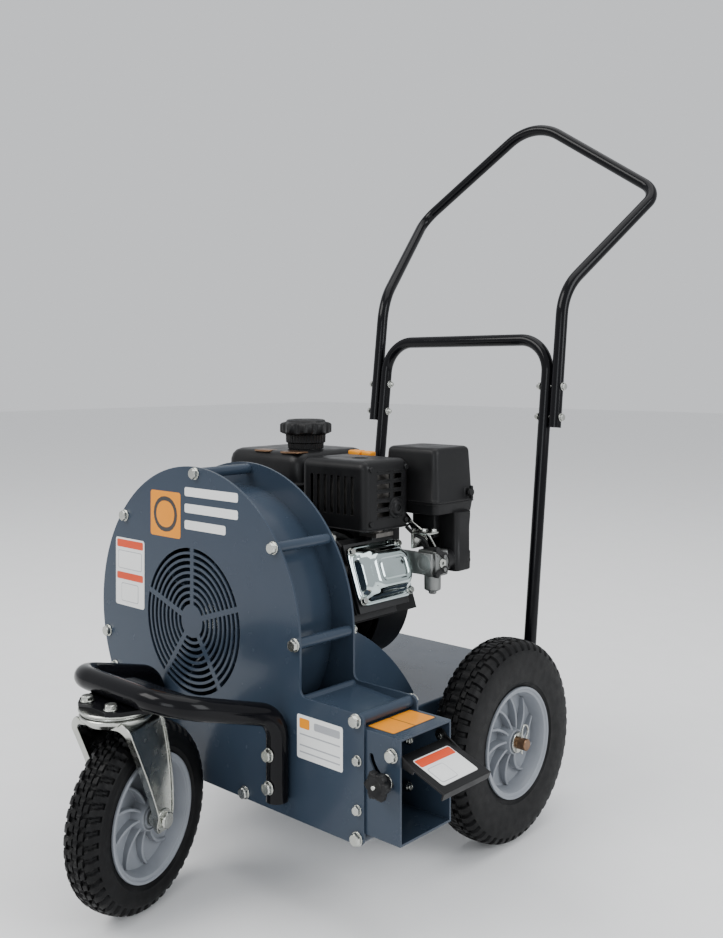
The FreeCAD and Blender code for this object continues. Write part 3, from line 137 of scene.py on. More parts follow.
def studio():
    middle = (0, 0, 0.45)
    area_light("key", (-1.2, -2.6, 3.0), middle, (2.4, 1.6), 95, (1.0, 0.99, 0.97))
    area_light("side", (3.4, 0.4, 1.9), middle, (1.6, 2.2), 70, (0.95, 0.98, 1.0))
    area_light("top", (0.2, 0.3, 3.6), middle, (3.0, 3.0), 60)
    area_light("front", (1.6, -3.4, 1.2), middle, (1.4, 1.4), 26, (0.93, 0.97, 1.0))
    world = bpy.data.worlds.new("studio")
    world.use_nodes = True
    sky = world.node_tree.nodes["Background"].inputs
    sky["Color"].default_value, sky["Strength"].default_value = SKY, SKY_STRENGTH
    bpy.context.scene.world = world
    floor = bpy.data.meshes.new("floor")
    corners = [(x * FLOOR_REACH, y * FLOOR_REACH, 0) for x, y in ((-1, -1), (1, -1), (1, 1), (-1, 1))]
    floor.from_pydata(corners, [], [(0, 1, 2, 3)])
    obj = bpy.data.objects.new("floor", floor)
    bpy.context.scene.collection.objects.link(obj)
    floor.materials.append(surface("floor_paint", (0.86, 0.86, 0.86), 0.55, tint=0.01, bevel=0))
    obj.location.z = -FLOOR_DROP


# ---- materials
def surface(name, colour, rough, metallic=0.0, coat=0.0, tint=0.08, patch=14.0, rough_spread=0.08,
            grain=0.0, grain_scale=900.0, bevel=0.7, edge=None, edge_mix=0.5, second=None,
            second_amount=0.5, specular=0.5):
    """Procedural finish: blotchy colour, uneven roughness, fine grain, softened and worn edges."""
    mat = bpy.data.materials.new(name)
    mat.use_nodes = True
    nodes, links = mat.node_tree.nodes, mat.node_tree.links
    shader = nodes["Principled BSDF"]
    shader.inputs["Metallic"].default_value = metallic
    shader.inputs["Coat Weight"].default_value = coat
    shader.inputs["Coat Roughness"].default_value = 0.08
    shader.inputs["Specular IOR Level"].default_value = specular
    place = nodes.new("ShaderNodeTexCoord").outputs["Object"]

    def noise(scale, detail):
        node = nodes.new("ShaderNodeTexNoise")
        node.inputs["Scale"].default_value = scale
        node.inputs["Detail"].default_value = detail
        links.new(place, node.inputs["Vector"])
        return node.outputs["Fac"]

    def remap(value, low, high, start=0.3, end=0.7):
        node = nodes.new("ShaderNodeMapRange")
        node.inputs["From Min"].default_value, node.inputs["From Max"].default_value = start, end
        node.inputs["To Min"].default_value, node.inputs["To Max"].default_value = low, high
        links.new(value, node.inputs["Value"])
        return node.outputs["Result"]

    def mixed(factor, first, other):
        node = nodes.new("ShaderNodeMix")
        node.data_type = "RGBA"
        links.new(factor, node.inputs["Factor"])
        for socket, value in ((node.inputs["A"], first), (node.inputs["B"], other)):
            if isinstance(value, tuple):
                socket.default_value = (*value, 1)
            else:
                links.new(value, socket)
        return node.outputs["Result"]

    dark = tuple(channel * (1 - tint) for channel in colour)
    light = tuple(min(channel * (1 + tint), 1.0) for channel in colour)
    paint = mixed(remap(noise(patch, 4), 0, 1), dark, light)
    if second:
        paint = mixed(remap(noise(patch * 2.3, 6), 0, second_amount, 0.5, 0.72), paint, second)
    normal = None
    if bevel:
        soft = nodes.new("ShaderNodeBevel")
        soft.samples = 4
        soft.inputs["Radius"].default_value = bevel * MM
        normal = soft.outputs["Normal"]
        if edge:
            dot = nodes.new("ShaderNodeVectorMath")
            dot.operation = "DOT_PRODUCT"
            links.new(normal, dot.inputs[0])
            links.new(nodes.new("ShaderNodeNewGeometry").outputs["Normal"], dot.inputs[1])
            paint = mixed(remap(dot.outputs["Value"], edge_mix, 0, 0.80, 0.97), paint, edge)
    links.new(paint, shader.inputs["Base Color"])
    smears = remap(noise(patch * 3, 5), rough - rough_spread, rough + rough_spread)
    links.new(smears, shader.inputs["Roughness"])
    if grain:
        bump = nodes.new("ShaderNodeBump")
        bump.inputs["Strength"].default_value = grain
        bump.inputs["Distance"].default_value = 0.0004
        links.new(noise(grain_scale, 3), bump.inputs["Height"])
        if normal:
            links.new(normal, bump.inputs["Normal"])
        normal = bump.outputs["Normal"]
    if normal:
        links.new(normal, shader.inputs["Normal"])
    return mat


SLATE = surface("slate_gloss", (0.0265, 0.0395, 0.060), 0.25, coat=0.10, specular=0.24, tint=0.03,
                grain=0.05, grain_scale=420, edge=(0.13, 0.16, 0.20), rough_spread=0.03)
GLOSS_BLACK = surface("gloss_black", (0.0035, 0.0035, 0.0045), 0.14, coat=0.03, specular=0.14,
                      tint=0.15, grain=0.04, grain_scale=350, edge=(0.02, 0.02, 0.022),
                      rough_spread=0.05)
SATIN_BLACK = surface("satin_black", (0.0055, 0.0055, 0.006), 0.38, specular=0.20, tint=0.2,
                      grain=0.10, grain_scale=1500, edge=(0.03, 0.03, 0.03), bevel=1.2)
MOULDED = surface("moulded_black", (0.0065, 0.0065, 0.007), 0.42, specular=0.22, tint=0.2, grain=0.22,
                  grain_scale=2200, edge=(0.03, 0.03, 0.03), bevel=0.9)
ZINC = surface("zinc_plate", (0.47, 0.48, 0.45), 0.24, metallic=1.0, tint=0.10, patch=22,
               rough_spread=0.07, grain=0.05, grain_scale=1200, second=(0.42, 0.42, 0.33),
               second_amount=0.3)
STEEL = surface("dark_steel", (0.17, 0.16, 0.15), 0.42, metallic=1.0, tint=0.25, patch=50, grain=0.12)
# chrome: the blue-green base colour and the greener second blotches are painted reflection of blue-green
# surroundings, not the plating's own colour
CHROME_PAINTED_REFLECTION = surface("chrome_with_painted_reflection", (0.50, 0.58, 0.58), 0.09, metallic=1.0, tint=0.05, patch=12, bevel=0,
                 rough_spread=0.02, second=(0.36, 0.46, 0.41))
CAST = surface("cast_alloy", (0.20, 0.205, 0.20), 0.42, metallic=0.9, tint=0.18, patch=45,
               grain=0.35, grain_scale=1400, edge=(0.42, 0.42, 0.41))
DARK_CAST = surface("painted_casting", (0.016, 0.016, 0.017), 0.42, metallic=0.3, tint=0.2,
                    grain=0.3, grain_scale=1400, edge=(0.14, 0.14, 0.14))
GREY_PLASTIC = surface("grey_moulding", (0.21, 0.225, 0.25), 0.40, specular=0.35, tint=0.06, patch=26,
                       grain=0.10, grain_scale=1600, edge=(0.50, 0.52, 0.55), edge_mix=0.4, bevel=1.0)
TYRE = surface("tread_rubber", (0.0040, 0.0040, 0.0044), 0.46, specular=0.14, tint=0.25, patch=30,
               grain=0.30, grain_scale=1800, bevel=0.6, edge=(0.018, 0.018, 0.019),
               second=(0.010, 0.0098, 0.0095))
RUBBER = surface("soft_rubber", (0.006, 0.006, 0.006), 0.45, specular=0.3, tint=0.2, grain=0.2, bevel=0.8)
PAPER = surface("pleated_paper", (0.50, 0.36, 0.17), 0.8, tint=0.12, grain=0.3)
COPPER = surface("bronze_end", (0.21, 0.125, 0.075), 0.36, metallic=1.0, tint=0.2, patch=80)
LABEL_WHITE = surface("label_white", (0.70, 0.71, 0.70), 0.35, tint=0.03, bevel=0)
LABEL_RED = surface("label_red", (0.60, 0.055, 0.012), 0.35, specular=0.3, tint=0.06, bevel=0)
LABEL_ORANGE = surface("label_orange", (0.70, 0.24, 0.004), 0.35, specular=0.3, tint=0.06, bevel=0)
LABEL_GREY = surface("label_grey", (0.32, 0.33, 0.35), 0.4, tint=0.05, bevel=0)
LABEL_BLACK = surface("label_black", (0.02, 0.02, 0.02), 0.4, tint=0.1, bevel=0)
AMBER = surface("amber_moulding", (0.72, 0.26, 0.004), 0.35, specular=0.3, tint=0.08, grain=0.1)

FINISH = {"slate_paint": SLATE, "black_paint": GLOSS_BLACK, "black_enamel": SATIN_BLACK, "zinc": ZINC,
          "dark_steel": STEEL, "chrome": CHROME_PAINTED_REFLECTION, "cast_aluminium": CAST, "black_plastic": MOULDED,
          "grey_plastic": GREY_PLASTIC, "rubber": RUBBER, "filter_paper": PAPER, "tyre": TYRE}
SPECIAL = {"fan_shroud": SATIN_BLACK, "caster_mount_plate": GLOSS_BLACK,
           "cylinder_head": DARK_CAST, "muffler_guard": SATIN_BLACK, "recoil_cover": SATIN_BLACK,
           "lower_shroud": SATIN_BLACK, "crankcase": DARK_CAST, "deflector_flap": SATIN_BLACK}


def finish_frame():
    """Every CAD node gets its finish, including those that a piece replaces."""
    slots = {entry["node"]: entry["material_slot"] for entry in frame["record"]["subparts"]}
    for name, obj in NODES.items():
        finish = SPECIAL.get(name, FINISH[slots[name]])
        obj.data.materials.clear()
        obj.data.materials.append(finish)
        for polygon in obj.data.polygons:
            polygon.material_index = 0


# ---- mesh helpers
def piece(name, bm, material, body, replaced=(), smooth=40):
    """Object from a bmesh laid out in millimetres; a piece with body None is not attached to a body."""
    bmesh.ops.recalc_face_normals(bm, faces=bm.faces)
    for vertex in bm.verts:
        vertex.co = at(vertex.co)
    mesh = bpy.data.meshes.new(name)
    bm.to_mesh(mesh)
    bm.free()
    materials = material if isinstance(material, (list, tuple)) else [material]
    for entry in materials:
        mesh.materials.append(entry)
    mesh.shade_smooth()
    mesh.set_sharp_from_angle(angle=math.radians(smooth))
    obj = bpy.data.objects.new(name, mesh)
    bpy.context.scene.collection.objects.link(obj)
    if body:
        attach(obj, body)
    if replaced:
        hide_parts(*replaced)
    return obj


def frame_of(axis):
    """Rotation that takes +Z to axis."""
    return Vector(axis).normalized().to_track_quat("Z", "Y").to_matrix().to_4x4()


def bridge(bm, rings):
    """Quads from each ring of vertices to the next."""
    for low, high in zip(rings, rings[1:]):
        for k in range(len(low)):
            j = (k + 1) % len(low)
            bm.faces.new((low[k], low[j], high[j], high[k]))


def tube_of(bm, rings):
    """Quads between the rings and a cap on both ends."""
    bridge(bm, rings)
    bm.faces.new(list(reversed(rings[0])))
    bm.faces.new(rings[-1])


def revolve(bm, profile, centre, axis, steps=48, closed=True):
    """Turned solid of (along, radius) points about an axis; closed joins the last to the first."""
    turn = Matrix.Translation(Vector(centre)) @ frame_of(axis)
    rings = []
    for along, radius in profile:
        if radius < 1e-6:
            rings.append([bm.verts.new(turn @ Vector((0, 0, along)))])
            continue
        angles = [2 * math.pi * i / steps for i in range(steps)]
        rings.append([bm.verts.new(turn @ Vector((radius * math.cos(a), radius * math.sin(a), along)))
                      for a in angles])
    pairs = list(zip(rings, rings[1:]))
    if closed:
        pairs.append((rings[-1], rings[0]))
    for low, high in pairs:
        if len(low) == 1 and len(high) == 1:
            continue
        for i in range(steps):
            j = (i + 1) % steps
            if len(low) == 1:
                bm.faces.new((low[0], high[i], high[j]))
            elif len(high) == 1:
                bm.faces.new((low[i], low[j], high[0]))
            else:
                bm.faces.new((low[i], low[j], high[j], high[i]))


def block(bm, low, high, round_by, segments=2):
    """Box between two corners with its edges rounded."""
    low, high = Vector(low), Vector(high)
    made = bmesh.ops.create_cube(bm, size=1.0)["verts"]
    for vertex in made:
        vertex.co = Vector(((low[i] + high[i]) / 2 + vertex.co[i] * (high[i] - low[i]) for i in range(3)))
    edges = list(dict.fromkeys(edge for vertex in made for edge in vertex.link_edges))
    bmesh.ops.bevel(bm, geom=edges, offset=round_by, segments=segments, profile=0.5,
                    affect="EDGES", clamp_overlap=True)


def prism(bm, outline, origin, across, up, depth):
    """Solid from a 2-D outline (across, up) standing at origin, thickened along depth."""
    near = [bm.verts.new(origin + across * a + up * b) for a, b in outline]
    far = [bm.verts.new(v.co + depth) for v in near]
    bm.faces.new(near)
    bm.faces.new(list(reversed(far)))
    for i in range(len(near)):
        j = (i + 1) % len(near)
        bm.faces.new((near[i], far[i], far[j], near[j]))


def smooth_path(points, radii, step=7.0):
    """Points along straight runs joined by arcs of the given bend radii."""
    points = [Vector(p) for p in points]
    path = [points[0]]
    for before, corner, after, radius in zip(points, points[1:], points[2:], radii):
        inward, outward = (corner - before).normalized(), (after - corner).normalized()
        angle = inward.angle(outward)
        reach = radius * math.tan(angle / 2)
        start = corner - inward * reach
        normal = (outward - inward * inward.dot(outward)).normalized()
        count = max(2, int(math.degrees(angle) / step))
        for i in range(count + 1):
            a = angle * i / count
            path.append(start + inward * radius * math.sin(a) + normal * radius * (1 - math.cos(a)))
    path.append(points[-1])
    return path


def pipe(bm, path, radius, sides):
    """Round tube along a path; radius is a number or one for each point."""
    path = [Vector(p) for p in path]
    radii = radius if isinstance(radius, list) else [radius] * len(path)
    tangents = []
    for i in range(len(path)):
        before, after = path[max(i - 1, 0)], path[min(i + 1, len(path) - 1)]
        tangents.append((after - before).normalized())
    side = tangents[0].orthogonal().normalized()
    rings = []
    for point, tangent, r in zip(path, tangents, radii):
        side = (side - tangent * side.dot(tangent)).normalized()
        other = tangent.cross(side)
        rings.append([bm.verts.new(point + (side * math.cos(2 * math.pi * k / sides)
                                            + other * math.sin(2 * math.pi * k / sides)) * r)
                      for k in range(sides)])
    tube_of(bm, rings)


def curve_through(points, steps):
    """Smooth Catmull-Rom line through the points."""
    points = [Vector(p) for p in points]
    ends = [points[0] * 2 - points[1]] + points + [points[-1] * 2 - points[-2]]
    line = []
    for p0, p1, p2, p3 in zip(ends, ends[1:], ends[2:], ends[3:]):
        for i in range(steps):
            t = i / steps
            line.append(0.5 * (2 * p1 + (p2 - p0) * t + (2 * p0 - 5 * p1 + 4 * p2 - p3) * t * t
                               + (3 * p1 - p0 - 3 * p2 + p3) * t ** 3))
    return line + [points[-1]]


# ---- fasteners
def hexagon(bm, start, axis, across, height):
    """Chamfered hexagon standing on start, along axis, with a dished top."""
    turn = Matrix.Translation(Vector(start)) @ frame_of(axis)
    flat, corner = across / 2, across / math.sqrt(3)
    steps = 24
    rings = []
    for level, limit in ((0.0, corner), (height * 0.82, corner), (height, flat * 0.94)):
        ring = []
        for i in range(steps):
            a = 2 * math.pi * i / steps
            reach = min(flat / math.cos((a + math.pi / 6) % (math.pi / 3) - math.pi / 6), limit)
            ring.append(bm.verts.new(turn @ Vector((reach * math.cos(a), reach * math.sin(a), level))))
        rings.append(ring)
    bridge(bm, rings)
    bmesh.ops.inset_region(bm, faces=[bm.faces.new(rings[-1])], thickness=flat * 0.3,
                           depth=-height * 0.08)
    bm.faces.new(list(reversed(rings[0])))


def washer(bm, start, axis, outer, inner, thick):
    chamfer = thick * 0.25
    revolve(bm, [(0, inner), (0, outer - chamfer), (chamfer, outer), (thick - chamfer, outer),
                 (thick, outer - chamfer), (thick, inner)], start, axis, 28)


def bolt(bm, head_at, axis, radius, grip):
    """Hex bolt with two washers and its nut; axis points to the head."""
    head_at, axis = Vector(head_at), Vector(axis)
    wide, thick, thin = HEAD_W * radius, HEAD_H * radius, WASHER_T * radius
    shank = radius * 0.97
    far = head_at - axis * (grip + thin)
    for seat, way, face in ((head_at, axis, head_at + axis * thin), (far, -axis, far)):
        washer(bm, seat, axis, WASHER_R * radius, radius, thin)
        hexagon(bm, face, way, wide, thick)
    revolve(bm, [(0, 0), (0, shank), (radius * 0.8, shank), (radius, radius * 0.8), (radius, 0)],
            far - axis * thick, -axis, 16, closed=False)
    revolve(bm, [(0, shank), (grip + thin, shank)], far, axis, 16, closed=False)


def polar(radius, angle, centre=FAN):
    a = math.radians(angle)
    return Vector((centre.x + radius * math.cos(a), 0, centre.z + radius * math.sin(a)))


def upright_y(z):
    return 181.0 + 0.12 * (z - 598.0)


def housing_points():
    """Places of the long bolts through both housing plates."""
    points = [polar(196.5, angle) for angle in (1, 36, 88, 140, 193, 208)]
    return points + [Vector((237, 0, DUCT_HIGH + 7.5)), Vector((239, 0, DUCT_LOW - 7.5)),
                     Vector((48, 0, DUCT_LOW - 7.5))]


def fasteners():
    front = -Y
    thin, wide, head = WASHER_T * M8, HEAD_W * M8, WASHER_R * M8
    bm = bmesh.new()
    for p in housing_points():
        bolt(bm, (p.x, FRONT_Y, p.z), front, M8, REAR_Y - FRONT_Y)
    piece("housing_bolt_set", bm, ZINC, "chassis", ["housing_bolts"])
    bm = bmesh.new()
    for side in (-1, 1):
        for z in BAR_BOLTS:
            bolt(bm, (side * BAR_X, BAR_LEG_Y - BAR_R, z), front, M8, 2 * BAR_R + 3)
        for other in (-1, 1):
            seat = SWIVEL + Vector((side * 24, other * 24, 260))
            washer(bm, seat, Z, head, M8, thin)
            hexagon(bm, seat + Z * thin, Z, wide, HEAD_H * M8)
            revolve(bm, [(-12, 0), (-12, 3.95), (thin, 3.95), (thin, 0)], seat, Z, 20, closed=False)
    piece("guard_bar_bolt_set", bm, ZINC, "chassis", ["guard_bar_bolts"])
    bm = bmesh.new()
    for z in (206, 150):
        bolt(bm, (239.5, FRONT_Y, z), front, M6, 5.5)
        bolt(bm, (239.5, REAR_Y, z), Y, M6, 5.5)
    for side, y in ((-1, INNER_FRONT), (1, INNER_REAR)):
        axis = Y * side
        base = Vector((PIVOT.x, y, PIVOT.z))
        washer(bm, base, axis, head, M8, thin)
        hexagon(bm, base + axis * thin, axis, wide, 5)
        revolve(bm, [(0, 0), (0, M8), (8.5, M8), (8.5, 0)], base, -axis, 20, closed=False)
    piece("outlet_bolt_set", bm, ZINC, "chassis", ["outlet_bolts"])
    bm = bmesh.new()
    for side in (-1, 1):
        for z in JOIN_Z:
            bolt(bm, (side * (UPPER_X + TUBE_R), upright_y(z), z), X * side, M6,
                 UPPER_X - LOWER_X + 2 * TUBE_R)
        for z in HANDLE_FIX:
            bolt(bm, (side * (LOWER_X + TUBE_R), upright_y(z), z), X * side, M6, 2 * TUBE_R + 4)
    piece("handle_bolt_set", bm, ZINC, "chassis", ["handle_bolts"])
    bm = bmesh.new()
    for x in (FAN.x - FOOT_X, FAN.x + FOOT_X):
        for y in FOOT_Y:
            bolt(bm, (x, y, FOOT_Z), Z, M8, FOOT_Z - DECK_UNDER_Z)
    piece("engine_bolt_set", bm, ZINC, "chassis", ["engine_bolts"])


# ---- tubes
def both_ways(right):
    """Points on the right side, then their mirror images on the left."""
    return right + [Vector((-p.x, p.y, p.z)) for p in reversed(right)]


def tubes():
    bm = bmesh.new()
    right = [Vector((BAR_X, BAR_LEG_Y, 132)), Vector((BAR_X, BAR_LEG_Y, 234)), Vector((98, -488, 273.5))]
    pipe(bm, smooth_path(both_ways(right), [34, 55, 55, 34], 5), BAR_R, 28)
    piece("guard_bar_tube", bm, GLOSS_BLACK, "chassis", ["guard_bar"])
    bm = bmesh.new()
    right = [Vector((LOWER_X, upright_y(148), 148)), Vector((LOWER_X, upright_y(CROSS_Z), CROSS_Z))]
    pipe(bm, smooth_path(both_ways(right), [52, 52], 5), TUBE_R, 24)
    piece("lower_handle_tube", bm, GLOSS_BLACK, "chassis", ["lower_handle"])
    bm = bmesh.new()
    right = [Vector((UPPER_X, upright_y(560), 560)), Vector((UPPER_X, upright_y(772), 772)),
             Vector((246, 395, 942))]
    route = right + [Vector((0, 407, 1101))] + both_ways(right)[3:]
    pipe(bm, smooth_path(route, [95, 36, 95, 36, 95], 4), TUBE_R, 24)
    piece("upper_handle_tube", bm, GLOSS_BLACK, "chassis", ["upper_handle"])


# ---- wheels
def tyre_profile(radius, width):
    """Half section as (x, radius, zone) from the bead to the middle of the tread."""
    half = width / 2
    points = [(half - 5.5, SEAT_R + 1, "bead"), (half - 5, RIM_R + 0.5, "bead"),
              (half - 3.4, RIM_R + 4, "wall"), (half - 2.2, RIM_R + 6, "wall"),
              (half - 1.4, RIM_R + 6.6, "wall"), (half - 1.4, RIM_R + 8.4, "wall")]
    span = radius - 12 - RIM_R
    for i in range(1, 8):
        t = i / 8
        bulge = 1.4 * (2 * t - 1) ** 2
        points.append((half - 0.3 - bulge, RIM_R + 8.6 + (span - 8) * t, "wall"))
    points += [(half - 1.8, radius - 12.5, "wall"), (half - 2.2, radius - 11.8, "lug"),
               (half - 3.6, radius - 8, "lug"), (half - 6.0, radius - 4.6, "lug"),
               (half - 9.4, radius - 2.4, "lug"), (half - 13.0, radius - 1.2, "lug"),
               (half - 13.4, radius - 1.2, "groove"), (half - 15.2, radius - 1.0, "groove"),
               (half - 15.6, radius - 0.9, "knob"), (half - 18.4, radius - 0.5, "knob"),
               (half - 21.2, radius - 0.3, "knob"), (half - 21.6, radius - 0.3, "groove"),
               (half - 23.0, radius - 0.2, "groove"), (half - 23.4, radius - 0.1, "centre")]
    return points


def tread_depth(zone, x, index, slope):
    """How far the surface is cut in at a place on the tread."""
    if zone == "groove":
        return 3.2
    shift = int(round(abs(x) * slope)) + (0 if x > 0 else SAMPLES // 2)
    phase = (index + shift) % SAMPLES
    cuts = {"lug": (3.4, (0, 1, 2)), "knob": (3.0, (4, 5, 6)), "centre": (2.2, (3, 4))}
    deep, phases = cuts.get(zone, (0.0, ()))
    return deep if phase in phases else 0.0


def tyre(name, node, body, turn, radius, width, blocks, slope):
    """Tyre with a number of blocks round it; slope shifts them, in samples for each mm off centre."""
    half = tyre_profile(radius, width)
    section = half + [(-x, r, zone) for x, r, zone in reversed(half)]
    count = blocks * SAMPLES
    bm = bmesh.new()
    rings = []
    crown = radius - 34
    for i in range(count):
        a = 2 * math.pi * i / count
        ring = []
        for x, r, zone in section:
            cut = tread_depth(zone, x, i, slope)
            out = Vector((x * 0.8, 0, r - crown)).normalized() if zone == "lug" else Z
            px, pr = x - out.x * cut, r - out.z * cut
            ring.append(bm.verts.new(turn @ Vector((px, pr * math.cos(a), pr * math.sin(a)))))
        rings.append(ring)
    bridge(bm, rings + rings[:1])
    piece(name, bm, TYRE, body, [node], smooth=32)


def hub(name, node, body, turn, width, bore):
    """Dished plastic rim with curved blades, lip and boss on both faces."""
    bead = width / 2 - 5
    face = bead + 4
    web, blades, steps = 3.0, 10, 10
    bm = bmesh.new()
    section = [(web, 20), (web, 58), (web + 2, 62), (face - 8, 64.5), (face - 3, 67.5),
               (face - 2.2, 70.5), (face - 0.6, 71.5), (face, 73), (face - 0.4, 74.6),
               (face - 1.6, RIM_R), (face - 3.6, RIM_R), (bead - 1, SEAT_R + 2.5), (bead - 3, SEAT_R),
               (0, SEAT_R - 1)]
    ring = section + [(-x, r) for x, r in reversed(section[:-1])]
    revolve(bm, ring, (0, 0, 0), X, 96)
    boss = [(web - 1, bore), (bead - 0.6, bore), (bead, bore + 0.8), (bead, HUB_R - 5.2),
            (bead - 2.4, HUB_R - 4.6), (bead - 2.4, HUB_R - 2.6), (bead - 0.6, HUB_R - 2.2),
            (bead - 1, HUB_R - 0.4), (web - 1, HUB_R + 3.5)]
    for side in (1, -1):
        revolve(bm, [(x * side, r) for x, r in boss], (0, 0, 0), X, 48)
        for index in range(blades):
            start = 2 * math.pi * index / blades + (0 if side > 0 else 0.3)
            near, far = [], []
            for i in range(steps + 1):
                t = i / steps
                r = HUB_R - 1 + (62.5 - HUB_R) * t
                a = start + side * 0.42 * t ** 1.6
                top = (bead - 5) - (bead - 5 - web) * 0.55 * t
                thick = 1.5 + 0.7 * t
                for rows, offset in ((near, -thick / r), (far, thick / r)):
                    c, s = math.cos(a + offset), math.sin(a + offset)
                    rows.append((Vector((side * (web - 0.5), r * c, r * s)),
                                 Vector((side * (top - 0.8), r * c, r * s)),
                                 Vector((side * top, r * math.cos(a + offset * 0.4),
                                         r * math.sin(a + offset * 0.4)))))
            verts = [[bm.verts.new(p) for p in (n[0], n[1], n[2], f[2], f[1], f[0])]
                     for n, f in zip(near, far)]
            bridge(bm, verts)
            bm.faces.new(verts[0])
            bm.faces.new(list(reversed(verts[-1])))
    bmesh.ops.transform(bm, matrix=turn, verts=bm.verts)
    piece(name, bm, GREY_PLASTIC, body, [node])


def wheels():
    for side, word in ((1, "right"), (-1, "left")):
        turn = Matrix.Translation((side * REAR_X, 0, REAR_R)) @ Matrix.Rotation(0.5, 4, "X")
        body = "rear_wheel_" + word
        tyre("rear_tread_" + word, "rear_tyre_" + word, body, turn, REAR_R, REAR_W, REAR_BLOCKS, 0.0)
        hub("rear_rim_" + word, "rear_hub_" + word, body, turn, REAR_W, REAR_BORE)
    turn = caster_turn() @ Matrix.Translation((0, TRAIL, FRONT_R))
    tyre("front_tread", "front_tyre", "front_wheel", turn, FRONT_R, FRONT_W, FRONT_BLOCKS, 0.22)
    hub("front_rim", "front_hub", "front_wheel", turn, FRONT_W, FRONT_BORE)


def caster_turn():
    """Placement of the caster about its upright swivel."""
    return Matrix.Translation(SWIVEL) @ Matrix.Rotation(math.radians(CASTER_TURN), 4, "Z")


# ---- pressed and moulded shells
def loft_rects(bm, levels, place, corner_steps):
    """Shell through rounded rectangles (height, half_u, half_v, corner), each maybe with a shift."""
    rings = []
    for level in levels:
        height, half_u, half_v, corner = level[:4]
        shift_u, shift_v = level[4:6] if len(level) > 4 else (0.0, 0.0)
        corner = min(corner, half_u - 0.01, half_v - 0.01)
        ring = []
        for quarter in range(4):
            su, sv = ((1, 1), (-1, 1), (-1, -1), (1, -1))[quarter]
            for i in range(corner_steps + 1):
                a = math.pi / 2 * (quarter + i / corner_steps)
                u = su * (half_u - corner) + corner * math.cos(a)
                v = sv * (half_v - corner) + corner * math.sin(a)
                ring.append(bm.verts.new(place(u + shift_u, v + shift_v, height)))
        rings.append(ring)
    tube_of(bm, rings)


def upright(cx, cy):
    """Placing function for a shell that stands upright about (cx, cy)."""
    return lambda u, v, h: Vector((cx + u, cy + v, h))


def tilted(u, v, height):
    """Point on the cylinder head: u along Y, v across the cylinder, height along its axis."""
    a = math.radians(CYL_TILT)
    return Vector((FAN.x + height * math.cos(a) - v * math.sin(a), CYL_Y + u,
                   FAN.z + height * math.sin(a) + v * math.cos(a)))


def tilted_axis():
    a = math.radians(CYL_TILT)
    return Vector((math.cos(a), 0, math.sin(a)))


def lobed(bm, profile, centre, axis, lobes, steps):
    """Ring of quads from (along, radius, wave) points; wave is the depth of the lobes there."""
    turn = Matrix.Translation(Vector(centre)) @ frame_of(axis)
    rings = []
    for along, radius, wave in profile:
        ring = []
        for i in range(steps):
            a = 2 * math.pi * i / steps
            r = radius + wave * (math.cos(lobes * a) ** 3 if lobes < 20 else math.cos(lobes * a))
            ring.append(bm.verts.new(turn @ Vector((r * math.cos(a), r * math.sin(a), along))))
        rings.append(ring)
    tube_of(bm, rings)


def valve_cover():
    bm = bmesh.new()
    levels = [(152, 55, 40, 16, 0, 1), (152.6, 56, 41, 17, 0, 1), (154.2, 56, 41, 17, 0, 1),
              (155, 55.2, 40.2, 16, 0, 1), (155, 52.5, 37.5, 17, 0, 1), (155.6, 50.6, 36, 18, 0, 1),
              (157.4, 49.2, 34.8, 19, 0, 1), (163, 47.6, 33.4, 20, 0, 1), (167.5, 45.2, 31.4, 20, 0.5, 1),
              (170, 42.5, 29.2, 19, 1, 1), (171.6, 40, 27.2, 18, 1.5, 1), (173.6, 38.6, 26, 17, 2, 1),
              (176.2, 37, 24.6, 16, 2.5, 1), (178, 34.6, 22.4, 15, 3, 1), (179, 31, 19.2, 13, 3, 1),
              (179, 27.5, 15.8, 9, 3, 1), (178.2, 26.4, 14.8, 8, 3, 1), (178.2, 24.6, 13.2, 7, 3, 1),
              (178.9, 23.6, 12.4, 6, 3, 1), (179, 20, 9.5, 4, 3, 1)]
    loft_rects(bm, levels, tilted, 8)
    piece("valve_cover_pressing", bm, CHROME_PAINTED_REFLECTION, "chassis", ["valve_cover"], smooth=50)
    bm = bmesh.new()
    for u in (-48.5, 48.5):
        for v in (-32.5, 34.5):
            base, axis = tilted(u, v, 155), tilted_axis()
            washer(bm, base, axis, 6.0, 2.6, 1.0)
            hexagon(bm, base + axis, axis, 8.5, 4.5)
    piece("valve_cover_screws", bm, ZINC, "chassis")


